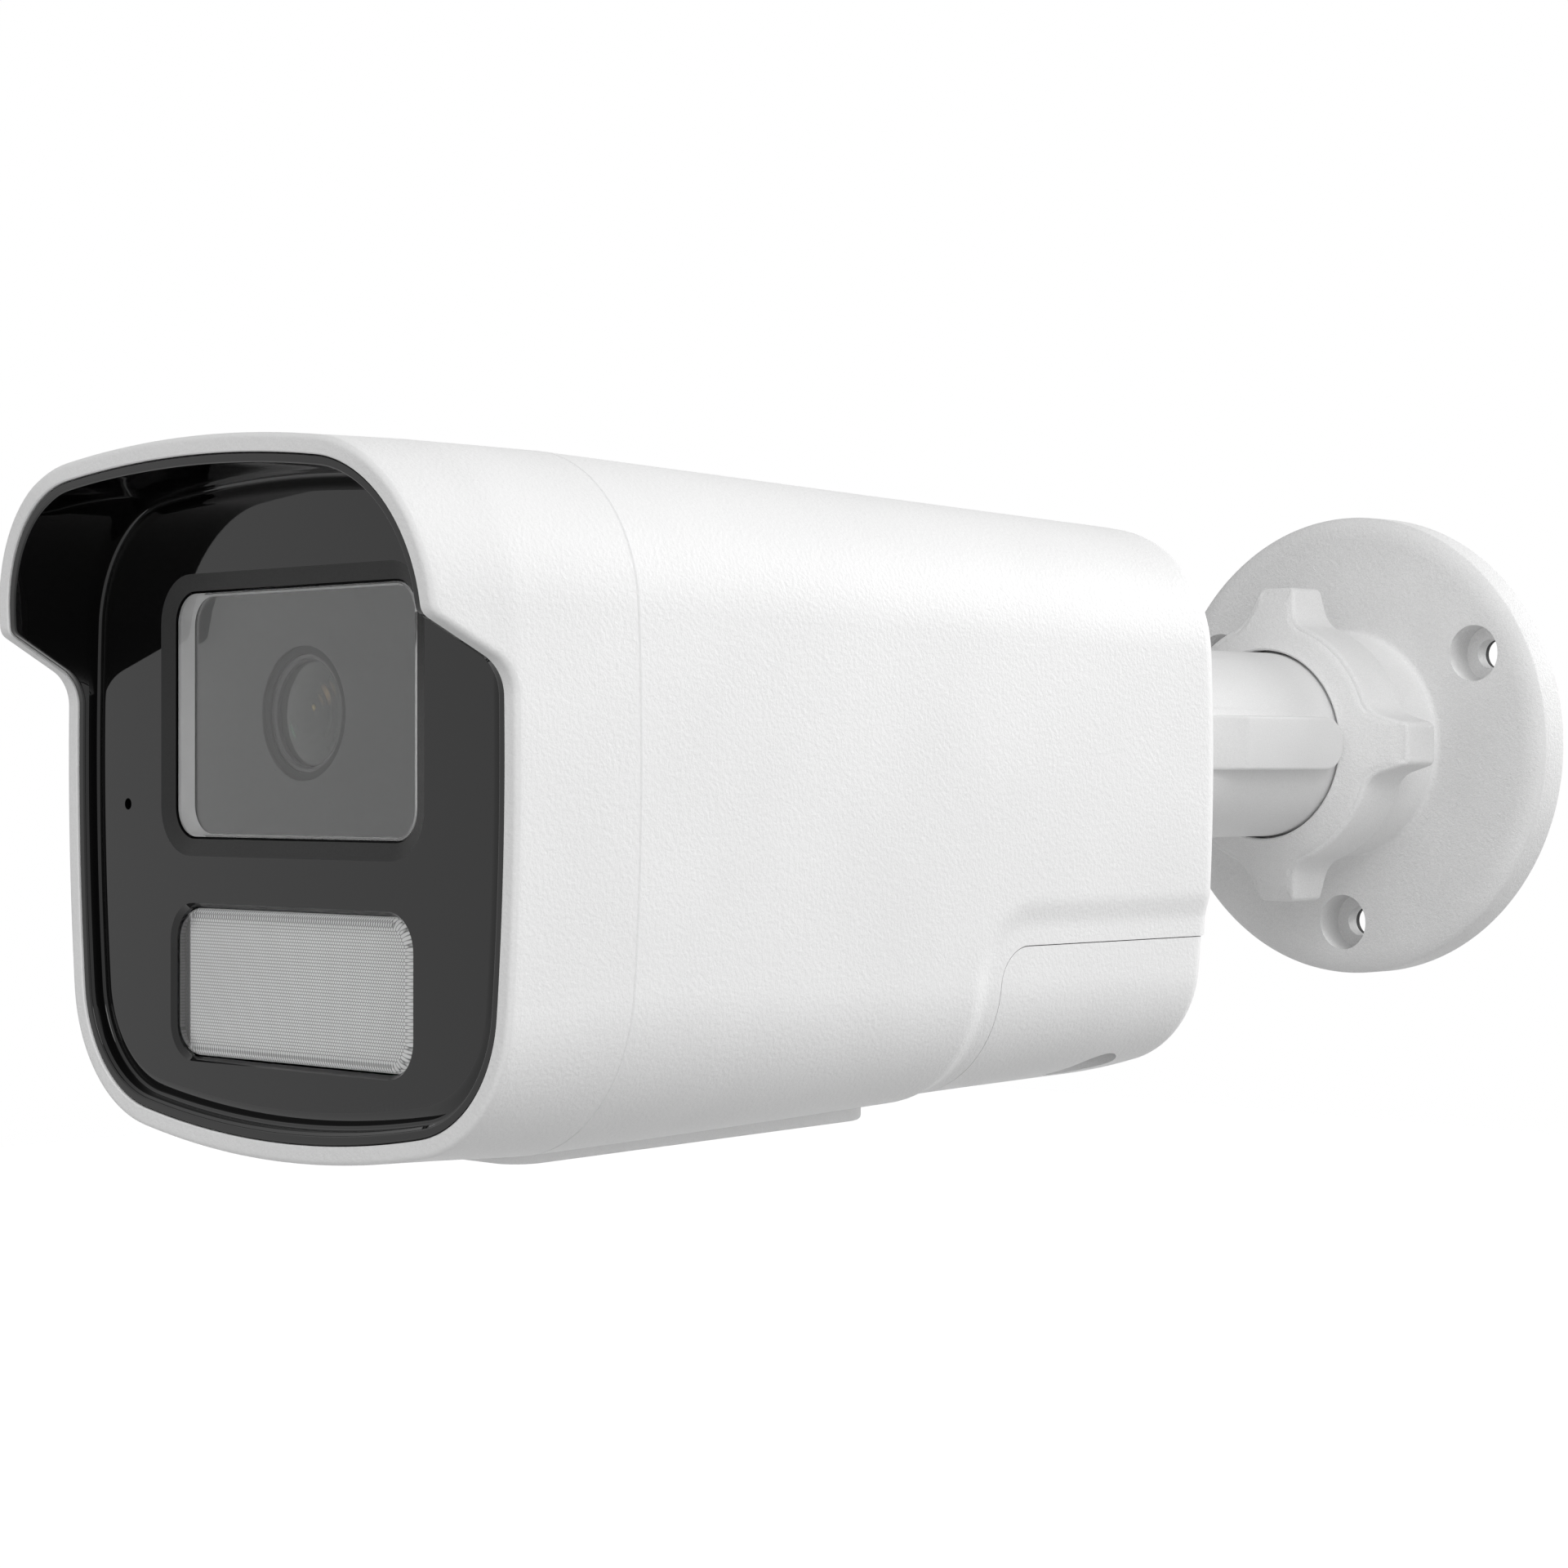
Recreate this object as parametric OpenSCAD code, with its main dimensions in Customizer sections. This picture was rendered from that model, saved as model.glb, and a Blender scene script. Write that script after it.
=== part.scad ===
// Bullet security camera on a three-axis wall bracket.
// Origin: centre of the bracket's wall face. +Z is up, the wall is at +Y and the camera looks to -Y.
// Bracket pieces are drawn in the wall frame, whose z is the distance from the wall.
// Camera pieces are drawn in the head frame, whose y is the distance behind the lower rim of the front cover.

/* [Wall bracket] */
// Diameter of the base plate
base_d = 67; // [62:1:76]
// Thickness of the base plate
base_t = 6.4; // [6:0.2:9]
// Rounding of the base plate's front edge
base_edge_r = 1.2; // [0.6:0.2:2.4]
// Thickness of the foam gasket behind the base plate
gasket_t = 0.8; // [0.6:0.2:2]
// Setback of the gasket's edge from the base plate's edge
gasket_setback = 1.2; // [0.4:0.2:3]
// Number of wall screws
screw_count = 3; // [3:1:4]
// Diameter of the circle that the wall screws lie on
screw_pcd = 52; // [51:0.5:54]
// Diameter of the wall screw holes
screw_hole_d = 4.2; // [3.5:0.1:5.5]
// Diameter of the counterbores for the screw heads
screw_head_d = 8; // [7:0.2:9]
// Depth of the counterbores for the screw heads
screw_head_depth = 4.4; // [2:0.2:5]
// Length of the neck between the base plate and the locking ring
neck_l = 9.4; // [9:0.2:14]
// Diameter of the neck
neck_d = 32.6; // [32.2:0.1:33.4]
// Radius of the fillet between neck and base plate
neck_fillet = 2.8; // [1:0.2:3]
// Diameter of the locking ring without its lugs
ring_d = 35.4; // [35:0.1:37]
// Length of the locking ring
ring_l = 10.6; // [10.2:0.1:12]
// Slope of the locking ring's front face, in degrees
ring_slope = 22; // [14:1:24]
// Thickness of the locking ring's front lip
ring_lip = 3; // [2.4:0.1:3.6]
// Number of lugs on the locking ring
lug_count = 4; // [3:1:6]
// Reach of a lug from the axis
lug_reach = 22.5; // [21:0.1:24]
// Width of a lug at its tip
lug_w = 5.8; // [4:0.2:8]
// Flare of a lug's sides, in degrees
lug_flare = 17; // [6:1:20]
// Radius of the fillets at a lug's root
lug_fillet = 4; // [2:0.5:5]
// Diameter of the knuckle arm
arm_d = 26.2; // [25:0.2:26.8]
// Width of the grip ribs on the knuckle arm's sides
rib_w = 7.4; // [5:0.2:10]
// Height of the grip ribs above the knuckle arm
rib_h = 1.8; // [0.8:0.1:2.4]
// Length of the grip ribs at full height
rib_l = 22; // [14:0.5:26]
// Distance from the locking ring's front to the tilt axis
tilt_reach = 43.7; // [43.6:0.1:50]
// Distance from the tilt axis to the back of the camera body
tilt_gap = 13.8; // [13.6:0.1:16]
// Diameter of the tilt bolt
bolt_d = 5; // [4:0.5:6]
// Diameter of the tilt bolt's head
bolt_head_d = 9; // [8:0.2:10]
// Thickness of the tilt arm's tongue
tongue_t = 8.4; // [6:0.2:10]
// Diameter of the tongue's eye
tongue_d = 20; // [16:0.5:22]
// Diameter of the swivel flange
swivel_d = 34; // [30:0.5:35]
// Diameter of the swivel spigot
spigot_d = 20; // [18:0.5:22]

/* [Camera body] */
// Width of the front cover and of the body where they meet
body_w = 78.8; // [77:0.2:81]
// Length of the body behind the front cover
body_l = 99.8; // [96:0.5:120]
// Height of the body's top above the bracket axis, at the front cover
top_h = 31.3; // [30:0.1:33]
// Depth of the body's bottom under the bracket axis, at the front cover
bottom_h = 45.6; // [45:0.1:46]
// Height of the body's widest place, above the bracket axis
waist_h = -2.2; // [-4:0.2:0]
// Draft of the body's top, in degrees
top_draft = 1.6; // [1:0.1:2]
// Draft of the body's bottom, in degrees
bottom_draft = 0.9; // [0.7:0.1:1.3]
// Draft of the body's sides, in degrees
side_draft = 1.2; // [0.8:0.1:1.4]
// Radius of the crown arc at the front cover
crown_r = 185; // [150:1:300]
// Radius of the crown arc at the body's back
crown_back_r = 125; // [100:1:200]
// Radius of the arc under the lower rim
keel_rim_r = 142; // [120:1:200]
// Radius of the arc under the body, behind the front cover
keel_r = 240; // [180:1:400]
// Radius of the arc under the body's back
keel_back_r = 92; // [80:1:150]
// Radius of the side arcs
flank_r = 290; // [200:1:450]
// Radius of the upper corners at the front cover
shoulder_r = 18; // [16:0.1:20]
// Radius of the upper corners at the body's back
shoulder_back_r = 16.4; // [14:0.1:18]
// Radius of the lower corners at the lower rim
bilge_rim_r = 16.6; // [15:0.1:18]
// Radius of the lower corners behind the front cover
bilge_r = 19.6; // [17:0.1:22]
// Radius of the lower corners at the body's back
bilge_back_r = 13.6; // [11:0.1:16]
// Rounding of the body's rear edge
rear_edge_r = 3.2; // [1:0.2:4]
// Wall of the body and the front cover
wall = 2.2; // [1.8:0.1:2.6]
// Thickness of the body's rear wall
rear_wall = 4; // [3.6:0.1:5]
// Width of the flat pad under the body
pad_w = 40; // [30:1:42]
// Length of the flat pad under the body
pad_l = 55.5; // [40:0.5:56]
// Slope of the flat pad, in degrees
pad_slope = 1.2; // [0.9:0.1:1.4]
// Depth of the pad's front end under the body
pad_drop = 0.3; // [0.2:0.1:0.6]

/* [Front cover] */
// Length of the front cover behind its lower rim
cover_l = 16.7; // [16.4:0.1:18]
// Overhang of the visor past the lower rim
visor_l = 11.6; // [10.6:0.1:14]
// Height of the visor's lower tips above the bracket axis
visor_tip_h = 11.4; // [10:0.1:13]
// Setback of the visor's lower tips from its top edge
visor_rake = 1.9; // [1:0.1:3]
// Height where the lower rim begins, above the bracket axis
rim_top_h = 6.2; // [4:0.1:8]
// Taper of the visor's sides towards its front, in degrees
visor_taper = 4.6; // [3:0.2:6]
// Fall of the visor's top towards its front, in degrees
visor_fall = 1.4; // [0.4:0.2:2.4]
// Rounding of the visor's lower tips
visor_tip_r = 1.5; // [1:0.1:2.5]
// Fillet between visor and lower rim
rim_fillet = 4.5; // [3:0.1:6]
// Width of the white rim seen from the front
rim_t = 2; // [1.6:0.1:2.2]
// Rounding of the cover's front edge
rim_edge_r = 0.6; // [0.3:0.1:0.8]
// Radius of the screw bosses inside the cover
boss_r = 4.4; // [4:0.1:4.8]
// Height of the upper screw bosses above the bracket axis
boss_top_h = 13; // [10:0.5:14]
// Depth of the lower screw bosses under the bracket axis
boss_low_h = 27; // [24:0.5:28]

/* [Face] */
// Setback of the face panel behind the lower rim
face_y = 1.6; // [1.2:0.1:2]
// Thickness of the face panel
face_t = 2; // [1.6:0.1:2.4]
// Width of the liner's front lip
liner_lip = 1.1; // [0.8:0.1:1.4]
// Thickness of the liner's wall at the face panel
liner_foot = 2.7; // [2.2:0.1:3]
// Width of the lens window
window_w = 41.9; // [38:0.1:44]
// Height of the lens window
window_h = 26.9; // [24:0.1:28]
// Corner radius of the lens window
window_r = 3.3; // [2:0.1:5]
// Thickness of the lens window
window_t = 2.7; // [2:0.1:3]
// Height of the lens window's centre above the bracket axis
window_z = 2.3; // [2:0.1:3]
// Width of the bevelled frame around the lens window
frame_w = 2.1; // [1.2:0.1:2.4]
// Setback of the lens window from the face panel
window_setback = 0.7; // [0.3:0.1:1]
// Width of the light window
light_w = 41.4; // [38:0.1:44]
// Height of the light window
light_h = 16.3; // [14:0.1:17]
// Corner radius of the light window
light_r = 3.6; // [2:0.1:5]
// Thickness of the light window
light_t = 2.5; // [2:0.1:3]
// Setback of the light window from the face panel
light_setback = 0.3; // [0.2:0.1:0.6]
// Depth of the light window's centre under the bracket axis
light_depth = 27.2; // [27:0.1:28]
// Number of lamps behind the light window
led_count = 4; // [2:1:4]
// Diameter of the microphone's hole
mic_hole_d = 1.3; // [1:0.1:2]
// Diameter of the microphone capsule
mic_d = 6; // [4:0.5:6.5]
// Distance of the microphone from halfway between the window and the body's side
mic_shift = 0.675; // [0:0.025:1]
// Depth of the microphone under the bracket axis
mic_depth = 7.6; // [5:0.1:10]

/* [Lens and sensor] */
// Diameter of the lens barrel's front rim
lens_rim_d = 14.4; // [13:0.1:16]
// Diameter of the lens barrel's thread
lens_thread_d = 12; // [11:0.1:12.6]
// Length of the lens barrel
lens_l = 15.4; // [14:0.1:16]
// Gap between the lens window and the lens barrel
lens_gap = 0.4; // [0.3:0.1:0.8]
// Side of the square sensor board
sensor_board_s = 38; // [34:0.5:40]
// Travel of the filter slider
filter_travel = 7; // [6.6:0.1:7.4]
// Width of one filter glass
filter_w = 6; // [5:0.1:6.2]
// Thickness of the circuit boards
board_t = 1.6; // [1:0.1:1.8]

/* [Service hatch] */
// Distance of the hatch's front joint behind the lower rim
hatch_y = 76; // [74:0.5:78]
// Depth of the hatch's side joint under the bracket axis
hatch_depth = 24.1; // [23.6:0.1:25]
// Corner radius of the hatch's joint
hatch_r = 4.5; // [2:0.1:6]
// Setback of the hatch's surface from the body's
hatch_inset = 0.6; // [0.3:0.1:0.9]
// Width of the joint around the hatch
hatch_gap = 0.15; // [0.1:0.05:0.3]
// Distance of the hatch screws from the middle plane
hatch_screw_x = 24.5; // [23:0.1:25]
// Distance of the hatch screws from the body's back
hatch_screw_back = 12.5; // [11:0.5:14]
// Diameter of the hatch screws' pockets
hatch_pocket_d = 7.2; // [6.6:0.1:7.6]
// Diameter of the reset button
button_d = 3.4; // [3:0.1:4]
// Travel of the reset button
button_travel = 0.4; // [0.2:0.05:0.5]

/* [Boards] */
// Width of the main board
main_board_w = 56; // [50:1:58]
// Length of the main board
main_board_l = 56; // [50:1:58]
// Depth of the main board's top under the bracket axis
main_board_depth = 1.4; // [0:0.1:3]
// Side of the processor
processor_s = 16; // [12:0.5:18]
// Number of fins on the heat sink
fin_count = 7; // [4:1:9]

/* [Fits] */
// Radial clearance of shafts that turn in their bores
running = 0.06; // [0.03:0.01:0.09]
// Gap between pieces that are seated in each other
seat = 0.1; // [0.05:0.01:0.15]
// Gap between moving pieces that don't guide each other
free_gap = 0.35; // [0.3:0.05:0.5]
// Radius of the small machine screws
m3_r = 1.45; // [1.2:0.05:1.5]

/* [Hidden] */
$fn = 48;
eps = 0.01;

// Distances from the wall along the bracket's axis.
base_face_d = gasket_t + base_t;
ring_back_d = base_face_d + neck_l;
ring_front_d = ring_back_d + ring_l;
tilt_d = ring_front_d + tilt_reach;
body_back_d = tilt_d + tilt_gap;
rim_d = body_back_d + body_l + cover_l;

// Distances behind the lower rim, in the head frame.
body_back_y = cover_l + body_l;
inner_back_y = body_back_y - rear_wall;
window_y = face_y + window_setback;
light_y = face_y + light_setback;
face_back_y = face_y + face_t;
light_back_y = light_y + light_t;
window_back_y = window_y + window_t;
mic_x = (body_w + window_w) / 4 - mic_shift;

// Bracket details.
thread_r = neck_d / 2 - 1.55;
flange_t = 2.4;
flange_r = thread_r - 0.3;
flange_front_d = ring_front_d - ring_lip - seat;
flange_back_d = flange_front_d - flange_t;
neck_end_d = flange_back_d - seat;
arm_r = arm_d / 2;
mouth_r = arm_r + free_gap;
lug_edge_r = 1;
rib_gap = 0.6;
pan_spigot_r = 9;
pan_spigot_end_d = 11;
fork_gap = tongue_t + 1.2;
washer_t = (fork_gap - tongue_t) / 2 - 0.04;
fork_depth = tongue_d / 2 + 2.5;
fork_end_r = tilt_gap - 0.9;
ear_face_x = arm_r - 0.9;
bolt_head_t = 3;
nut_t = 3;

// Swivel stack behind the body's rear wall, measured forwards from the body's back.
swivel_sink = 0.2;
swivel_plate_t = 4;
swivel_plate_r = swivel_d / 2 + 4;
swivel_washer_t = 1.2;
swivel_screw_head_t = 2.4;
plate_front_y = inner_back_y - swivel_plate_t;

// Rounded corner of a polygon: the arc that touches both sides of corner p.
function corner_arc(a, p, b, r, steps) =
    let (u = (a - p) / norm(a - p), v = (b - p) / norm(b - p),
         half = acos(u * v) / 2, d = r / tan(half), m = (u + v) / norm(u + v),
         c = p + m * r / sin(half), s = p + u * d - c, e = p + v * d - c,
         turn = 180 - 2 * half, way = (s.x * e.y - s.y * e.x) > 0 ? 1 : -1,
         a0 = atan2(s.y, s.x))
    [for (i = [0:steps]) c + r * [cos(a0 + way * turn * i / steps), sin(a0 + way * turn * i / steps)]];

// Polygon with its corners rounded: each corner is [x, y, radius].
function rounded(corners, steps = 5) = [
    for (i = [0:len(corners) - 1])
        let (n = len(corners), a = corners[(i + n - 1) % n], p = corners[i], b = corners[(i + 1) % n])
        each (p[2] > 0 ? corner_arc([a.x, a.y], [p.x, p.y], [b.x, b.y], p[2], steps) : [[p.x, p.y]])
];

// Centred rectangle with rounded corners.
function rounded_box(w, h, r) =
    rounded([[w / 2, -h / 2, r], [w / 2, h / 2, r], [-w / 2, h / 2, r], [-w / 2, -h / 2, r]]);

// A quarter of the body's outline: side arc, corner arc and top arc, tangent to each other.
function quarter(half_w, rise, top_r, corner_r, side_r) =
    let (s = [half_w - side_r, 0], t = [0, rise - top_r], d = norm(t - s),
         p = side_r - corner_r, q = top_r - corner_r, x = (p * p - q * q + d * d) / (2 * d),
         h = sqrt(p * p - x * x), e = (t - s) / d, c = s + e * x + h * [-e.y, e.x],
         a1 = atan2(c.y - s.y, c.x - s.x), a2 = atan2(c.y - t.y, c.x - t.x))
    concat([for (i = [0:2]) s + side_r * [cos(a1 * i / 3), sin(a1 * i / 3)]],
           [for (i = [0:8]) c + corner_r * [cos(a1 + (a2 - a1) * i / 8), sin(a1 + (a2 - a1) * i / 8)]],
           [for (i = [1:4]) t + top_r * [cos(a2 + (90 - a2) * i / 4), sin(a2 + (90 - a2) * i / 4)]]);

// The body's outline, moved inwards by inset, at y in the head frame. It narrows behind the front cover
// and again towards the visor's front.
function along(y, rim, seam, back) =
    1 / lookup(y, [[0, 1 / rim], [cover_l, 1 / seam], [body_back_y, 1 / back]]);
function section(y, inset = 0) =
    let (back = max(y - cover_l, 0), fore = max(-y, 0),
         half_w = body_w / 2 - inset - back * tan(side_draft) - fore * tan(visor_taper),
         rise = top_h - waist_h - inset - back * tan(top_draft) - fore * tan(visor_fall),
         up = quarter(half_w, rise, along(y, crown_r, crown_r, crown_back_r) - inset,
                      along(y, shoulder_r, shoulder_r, shoulder_back_r) - inset, flank_r - inset),
         down = quarter(half_w, bottom_h + waist_h - inset - back * tan(bottom_draft),
                        along(y, keel_rim_r, keel_r, keel_back_r) - inset,
                        along(y, bilge_rim_r, bilge_r, bilge_back_r) - inset, flank_r - inset),
         n = len(up) - 1)
    [for (i = [0:n]) [up[i].x, waist_h + up[i].y],
     for (i = [n - 1:-1:0]) [-up[i].x, waist_h + up[i].y],
     for (i = [1:n]) [-down[i].x, waist_h - down[i].y],
     for (i = [n - 1:-1:1]) [down[i].x, waist_h - down[i].y]];
function ring_at(y, inset = 0, shape_y = undef) =
    [for (p = section(is_undef(shape_y) ? y : shape_y, inset)) [p.x, y, p.y]];
function outline_at(y, outline) = [for (p = outline) [p.x, y, p.y]];

// Skin through a list of rings, which run from front to back along its outside.
// It is closed with a fan about the middle of its first and last ring,
// or, when joined, by a skin between those two.
module loft(rings, joined = false) {
    n = len(rings[0]);
    m = len(rings);
    last = joined ? m : m - 1;
    first_hub = m * n;
    points = [for (r = rings) each r];
    hub = function(r) [for (axis = [0:2]) (min([for (p = r) p[axis]]) + max([for (p = r) p[axis]])) / 2];
    polyhedron(concat(points, [hub(rings[0]), hub(rings[m - 1])]),
        concat([for (j = [0:last - 1], i = [0:n - 1])
                    each [[j * n + i, j * n + (i + 1) % n, (j + 1) % m * n + (i + 1) % n],
                          [j * n + i, (j + 1) % m * n + (i + 1) % n, (j + 1) % m * n + i]]],
               joined ? [] : [for (i = [0:n - 1]) each
                    [[first_hub, (i + 1) % n, i],
                     [first_hub + 1, (m - 1) * n + i, (m - 1) * n + (i + 1) % n]]]));
}

// Frames and small helpers.
module wall_frame() rotate([90, 0, 0]) children();
module head_frame() translate([0, -rim_d, 0]) children();
module plate(y, t) translate([0, y + t, 0]) rotate([90, 0, 0]) linear_extrude(t) children();
module rod(y, l, r) translate([0, y, 0]) rotate([-90, 0, 0]) cylinder(h = l, r = r);
module across(w) rotate([90, 0, 90]) linear_extrude(w, center = true) children();
module mirrored() {
    children();
    mirror([1, 0, 0]) children();
}
module screw(length, r = m3_r, head_r = 2.7, head_t = 1.8) {
    translate([0, 0, -length]) cylinder(h = length + eps, r = r);
    difference() {
        cylinder(h = head_t, r = head_r);
        translate([0, 0, head_t / 2]) cylinder(h = head_t, r = 1.3, $fn = 6);
    }
}

// ---- Wall bracket ----

module base_plate() color("gainsboro") wall_frame() difference() {
    rotate_extrude() polygon(rounded([
        [0, gasket_t, 0], [base_d / 2, gasket_t, 0], [base_d / 2, base_face_d, base_edge_r],
        [neck_d / 2, base_face_d, neck_fillet], [neck_d / 2, ring_back_d - seat, 0],
        [thread_r, ring_back_d - seat, 0],
        [thread_r, neck_end_d, 0], [0, neck_end_d, 0]]));
    translate([0, 0, pan_spigot_end_d - seat]) cylinder(h = neck_end_d, r = pan_spigot_r + running);
    wall_screw_places() {
        cylinder(h = base_face_d + eps, r = screw_hole_d / 2);
        translate([0, 0, base_face_d - screw_head_depth]) cylinder(h = base_t, r = screw_head_d / 2);
    }
}

module wall_screw_places()
    for (i = [0:screw_count - 1]) rotate(90 + 180 / screw_count + 360 * i / screw_count)
        translate([screw_pcd / 2, 0, 0]) children();

module wall_gasket() color("dimgray") wall_frame() difference() {
    cylinder(h = gasket_t, r = base_d / 2 - gasket_setback);
    wall_screw_places() translate([0, 0, -eps]) cylinder(h = gasket_t + 2 * eps, r = screw_hole_d / 2);
}

// Outline of the locking ring: flared lugs that run into the ring in concave fillets.
module ring_outline() {
    root_w = lug_w + 2 * (lug_reach - ring_d / 4) * tan(lug_flare);
    offset(r = lug_edge_r, $fn = 24) offset(delta = -lug_edge_r)
        offset(r = -lug_fillet, $fn = 48) offset(delta = lug_fillet) {
            circle(r = ring_d / 2, $fn = 72);
            for (i = [0:lug_count - 1]) rotate(90 + 360 * i / lug_count)
                polygon([[ring_d / 4, -root_w / 2], [lug_reach, -lug_w / 2],
                         [lug_reach, lug_w / 2], [ring_d / 4, root_w / 2]]);
        }
}

module locking_ring() color("white") wall_frame() translate([0, 0, ring_back_d]) difference() {
    intersection() {
        linear_extrude(ring_l) ring_outline();
        rotate_extrude() polygon([[0, 0], [lug_reach + 1, 0],
            [lug_reach + 1, ring_l - (lug_reach + 1 - mouth_r) * tan(ring_slope)], [mouth_r, ring_l], [0, ring_l]]);
    }
    translate([0, 0, -eps]) cylinder(h = ring_l - ring_lip + eps, r = thread_r + running);
    cylinder(h = ring_l + eps, r = mouth_r);
}

module knuckle_arm() color("whitesmoke") wall_frame() difference() {
    union() {
        translate([0, 0, pan_spigot_end_d]) cylinder(h = flange_back_d - pan_spigot_end_d + eps, r = pan_spigot_r);
        translate([0, 0, flange_back_d]) cylinder(h = flange_t, r = flange_r);
        intersection() {
            translate([0, 0, flange_back_d]) cylinder(h = tilt_d + fork_end_r - flange_back_d, r = arm_r);
            union() {
                translate([0, 0, tilt_d]) rotate([0, 90, 0]) cylinder(h = arm_d, r = fork_end_r, center = true);
                translate([-arm_r, -arm_r, 0]) cube([arm_d, arm_d, tilt_d]);
            }
        }
        grip_ribs();
    }
    translate([-fork_gap / 2, -arm_d, tilt_d - fork_depth]) cube([fork_gap, 2 * arm_d, arm_d + fork_depth]);
    mirrored() translate([ear_face_x, -arm_d, tilt_d - fork_depth]) cube([arm_d, 2 * arm_d, arm_d + fork_depth]);
    translate([0, 0, tilt_d]) rotate([0, 90, 0]) {
        cylinder(h = 2 * arm_d, r = bolt_d / 2 + running, center = true);
        translate([0, 0, ear_face_x - bolt_head_t]) cylinder(h = arm_d, r = bolt_head_d / 2 + seat);
        mirror([0, 0, 1]) translate([0, 0, ear_face_x - nut_t]) cylinder(h = arm_d, r = bolt_head_d / 2 + seat);
    }
}

// Ribs on both sides of the arm: round-ended behind, fading into the fork's cheeks in front.
module grip_ribs() intersection() {
    union() {
        translate([0, 0, ring_front_d + rib_gap + rib_w / 2]) rotate([0, 90, 0])
            cylinder(h = arm_d + 2 * rib_h, r = rib_w / 2, center = true);
        translate([-arm_d, -rib_w / 2, ring_front_d + rib_gap + rib_w / 2]) cube([2 * arm_d, rib_w, tilt_reach - rib_w]);
    }
    translate([0, rib_w / 2 + eps, 0]) rotate([90, 0, 0]) linear_extrude(rib_w + 2 * eps) mirrored()
        polygon([[0, ring_front_d], [arm_r + rib_h, ring_front_d], [arm_r + rib_h, ring_front_d + rib_gap + rib_l],
                 [ear_face_x - eps, tilt_d - fork_depth], [0, tilt_d - fork_depth]]);
}

module tilt_bolt() color("silver") wall_frame() translate([0, 0, tilt_d]) rotate([0, 90, 0]) difference() {
    union() {
        translate([0, 0, -ear_face_x]) cylinder(h = 2 * ear_face_x - bolt_head_t + eps, r = bolt_d / 2);
        translate([0, 0, ear_face_x - bolt_head_t]) cylinder(h = bolt_head_t, r = bolt_head_d / 2);
    }
    translate([0, 0, ear_face_x - bolt_head_t / 2]) cylinder(h = bolt_head_t, r = bolt_d / 3, $fn = 6);
}

module tilt_nut() color("silver") wall_frame() translate([seat / 2 - ear_face_x, 0, tilt_d]) rotate([0, 90, 0])
    difference() {
        cylinder(h = nut_t - seat, r = bolt_head_d / 2 - 0.2, $fn = 6);
        translate([0, 0, -eps]) cylinder(h = nut_t, r = bolt_d / 2 + running);
    }

module friction_washers() color("gray") wall_frame() mirrored()
    translate([tongue_t / 2 + 0.02, 0, tilt_d]) rotate([0, 90, 0]) difference() {
        cylinder(h = washer_t, r = tongue_d / 2 - 1);
        translate([0, 0, -eps]) cylinder(h = washer_t + 2 * eps, r = bolt_d / 2 + running);
    }

module tilt_arm() color("whitesmoke") wall_frame() difference() {
    union() {
        translate([0, 0, tilt_d]) rotate([0, 90, 0]) cylinder(h = tongue_t, r = tongue_d / 2, center = true);
        translate([-tongue_t / 2, 1.5 - tongue_d / 2, tilt_d])
            cube([tongue_t, tongue_d - 3, tilt_gap + swivel_sink + 1]);
        translate([0, 0, body_back_d + swivel_sink])
            cylinder(h = rear_wall - swivel_sink - seat, r = swivel_d / 2);
        translate([0, 0, body_back_d + 1]) cylinder(h = rear_wall + swivel_plate_t - 1 + seat, r = spigot_d / 2);
    }
    translate([0, 0, tilt_d]) rotate([0, 90, 0]) cylinder(h = 2 * tongue_t, r = bolt_d / 2 + running, center = true);
    translate([0, 0, body_back_d + 2]) cylinder(h = rear_wall + swivel_plate_t, r = m3_r + 0.6);
}

module swivel_washer() color("silver") wall_frame()
    translate([0, 0, body_back_d + rear_wall + swivel_plate_t + seat]) difference() {
        cylinder(h = swivel_washer_t, r = spigot_d / 2 + 4);
        translate([0, 0, -eps]) cylinder(h = swivel_washer_t + 2 * eps, r = m3_r + 0.65);
    }

module swivel_screw() color("silver") wall_frame()
    translate([0, 0, body_back_d + rear_wall + swivel_plate_t + seat + swivel_washer_t])
        screw(length = rear_wall + swivel_plate_t - 2, r = m3_r + 0.55, head_r = 3.8, head_t = swivel_screw_head_t);

// ---- Body shell ----

// Joint line of the hatch, seen from the side and moved outwards by grow.
module hatch_profile(grow = 0) polygon(rounded([
    [hatch_y - grow, -hatch_depth + grow, hatch_r + grow], [body_back_y + 20, -hatch_depth + grow, 0],
    [body_back_y + 20, -2 * bottom_h, 0], [hatch_y - grow, -2 * bottom_h, 0]]));

// Cup-shaped shell, open at the front and rounded at the rear edge.
function cup(inset, thickness, rear) = concat(
    [ring_at(body_back_y - rear, inset + thickness), ring_at(cover_l, inset + thickness),
     ring_at(cover_l, inset)],
    [for (i = [4:-1:0]) let (a = 90 * i / 4)
        ring_at(body_back_y - inset - rear_edge_r * (1 - cos(a)), inset + rear_edge_r * (1 - sin(a)))]);

module body_housing() color("white") head_frame() {
    difference() {
        union() {
            loft(cup(0, wall, rear_wall));
            bottom_pad();
        }
        across(2 * body_w) hatch_profile();
        rod(inner_back_y - eps, rear_wall + 1, swivel_d / 2 + free_gap);
        translate([-grommet_x, 0, -grommet_depth]) rod(inner_back_y - eps, rear_wall + 1, grommet_r + seat);
        socket_screw_places() rod(inner_back_y - eps, rear_wall - 1, m3_r + seat);
    }
    service_ceiling();
}

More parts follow.
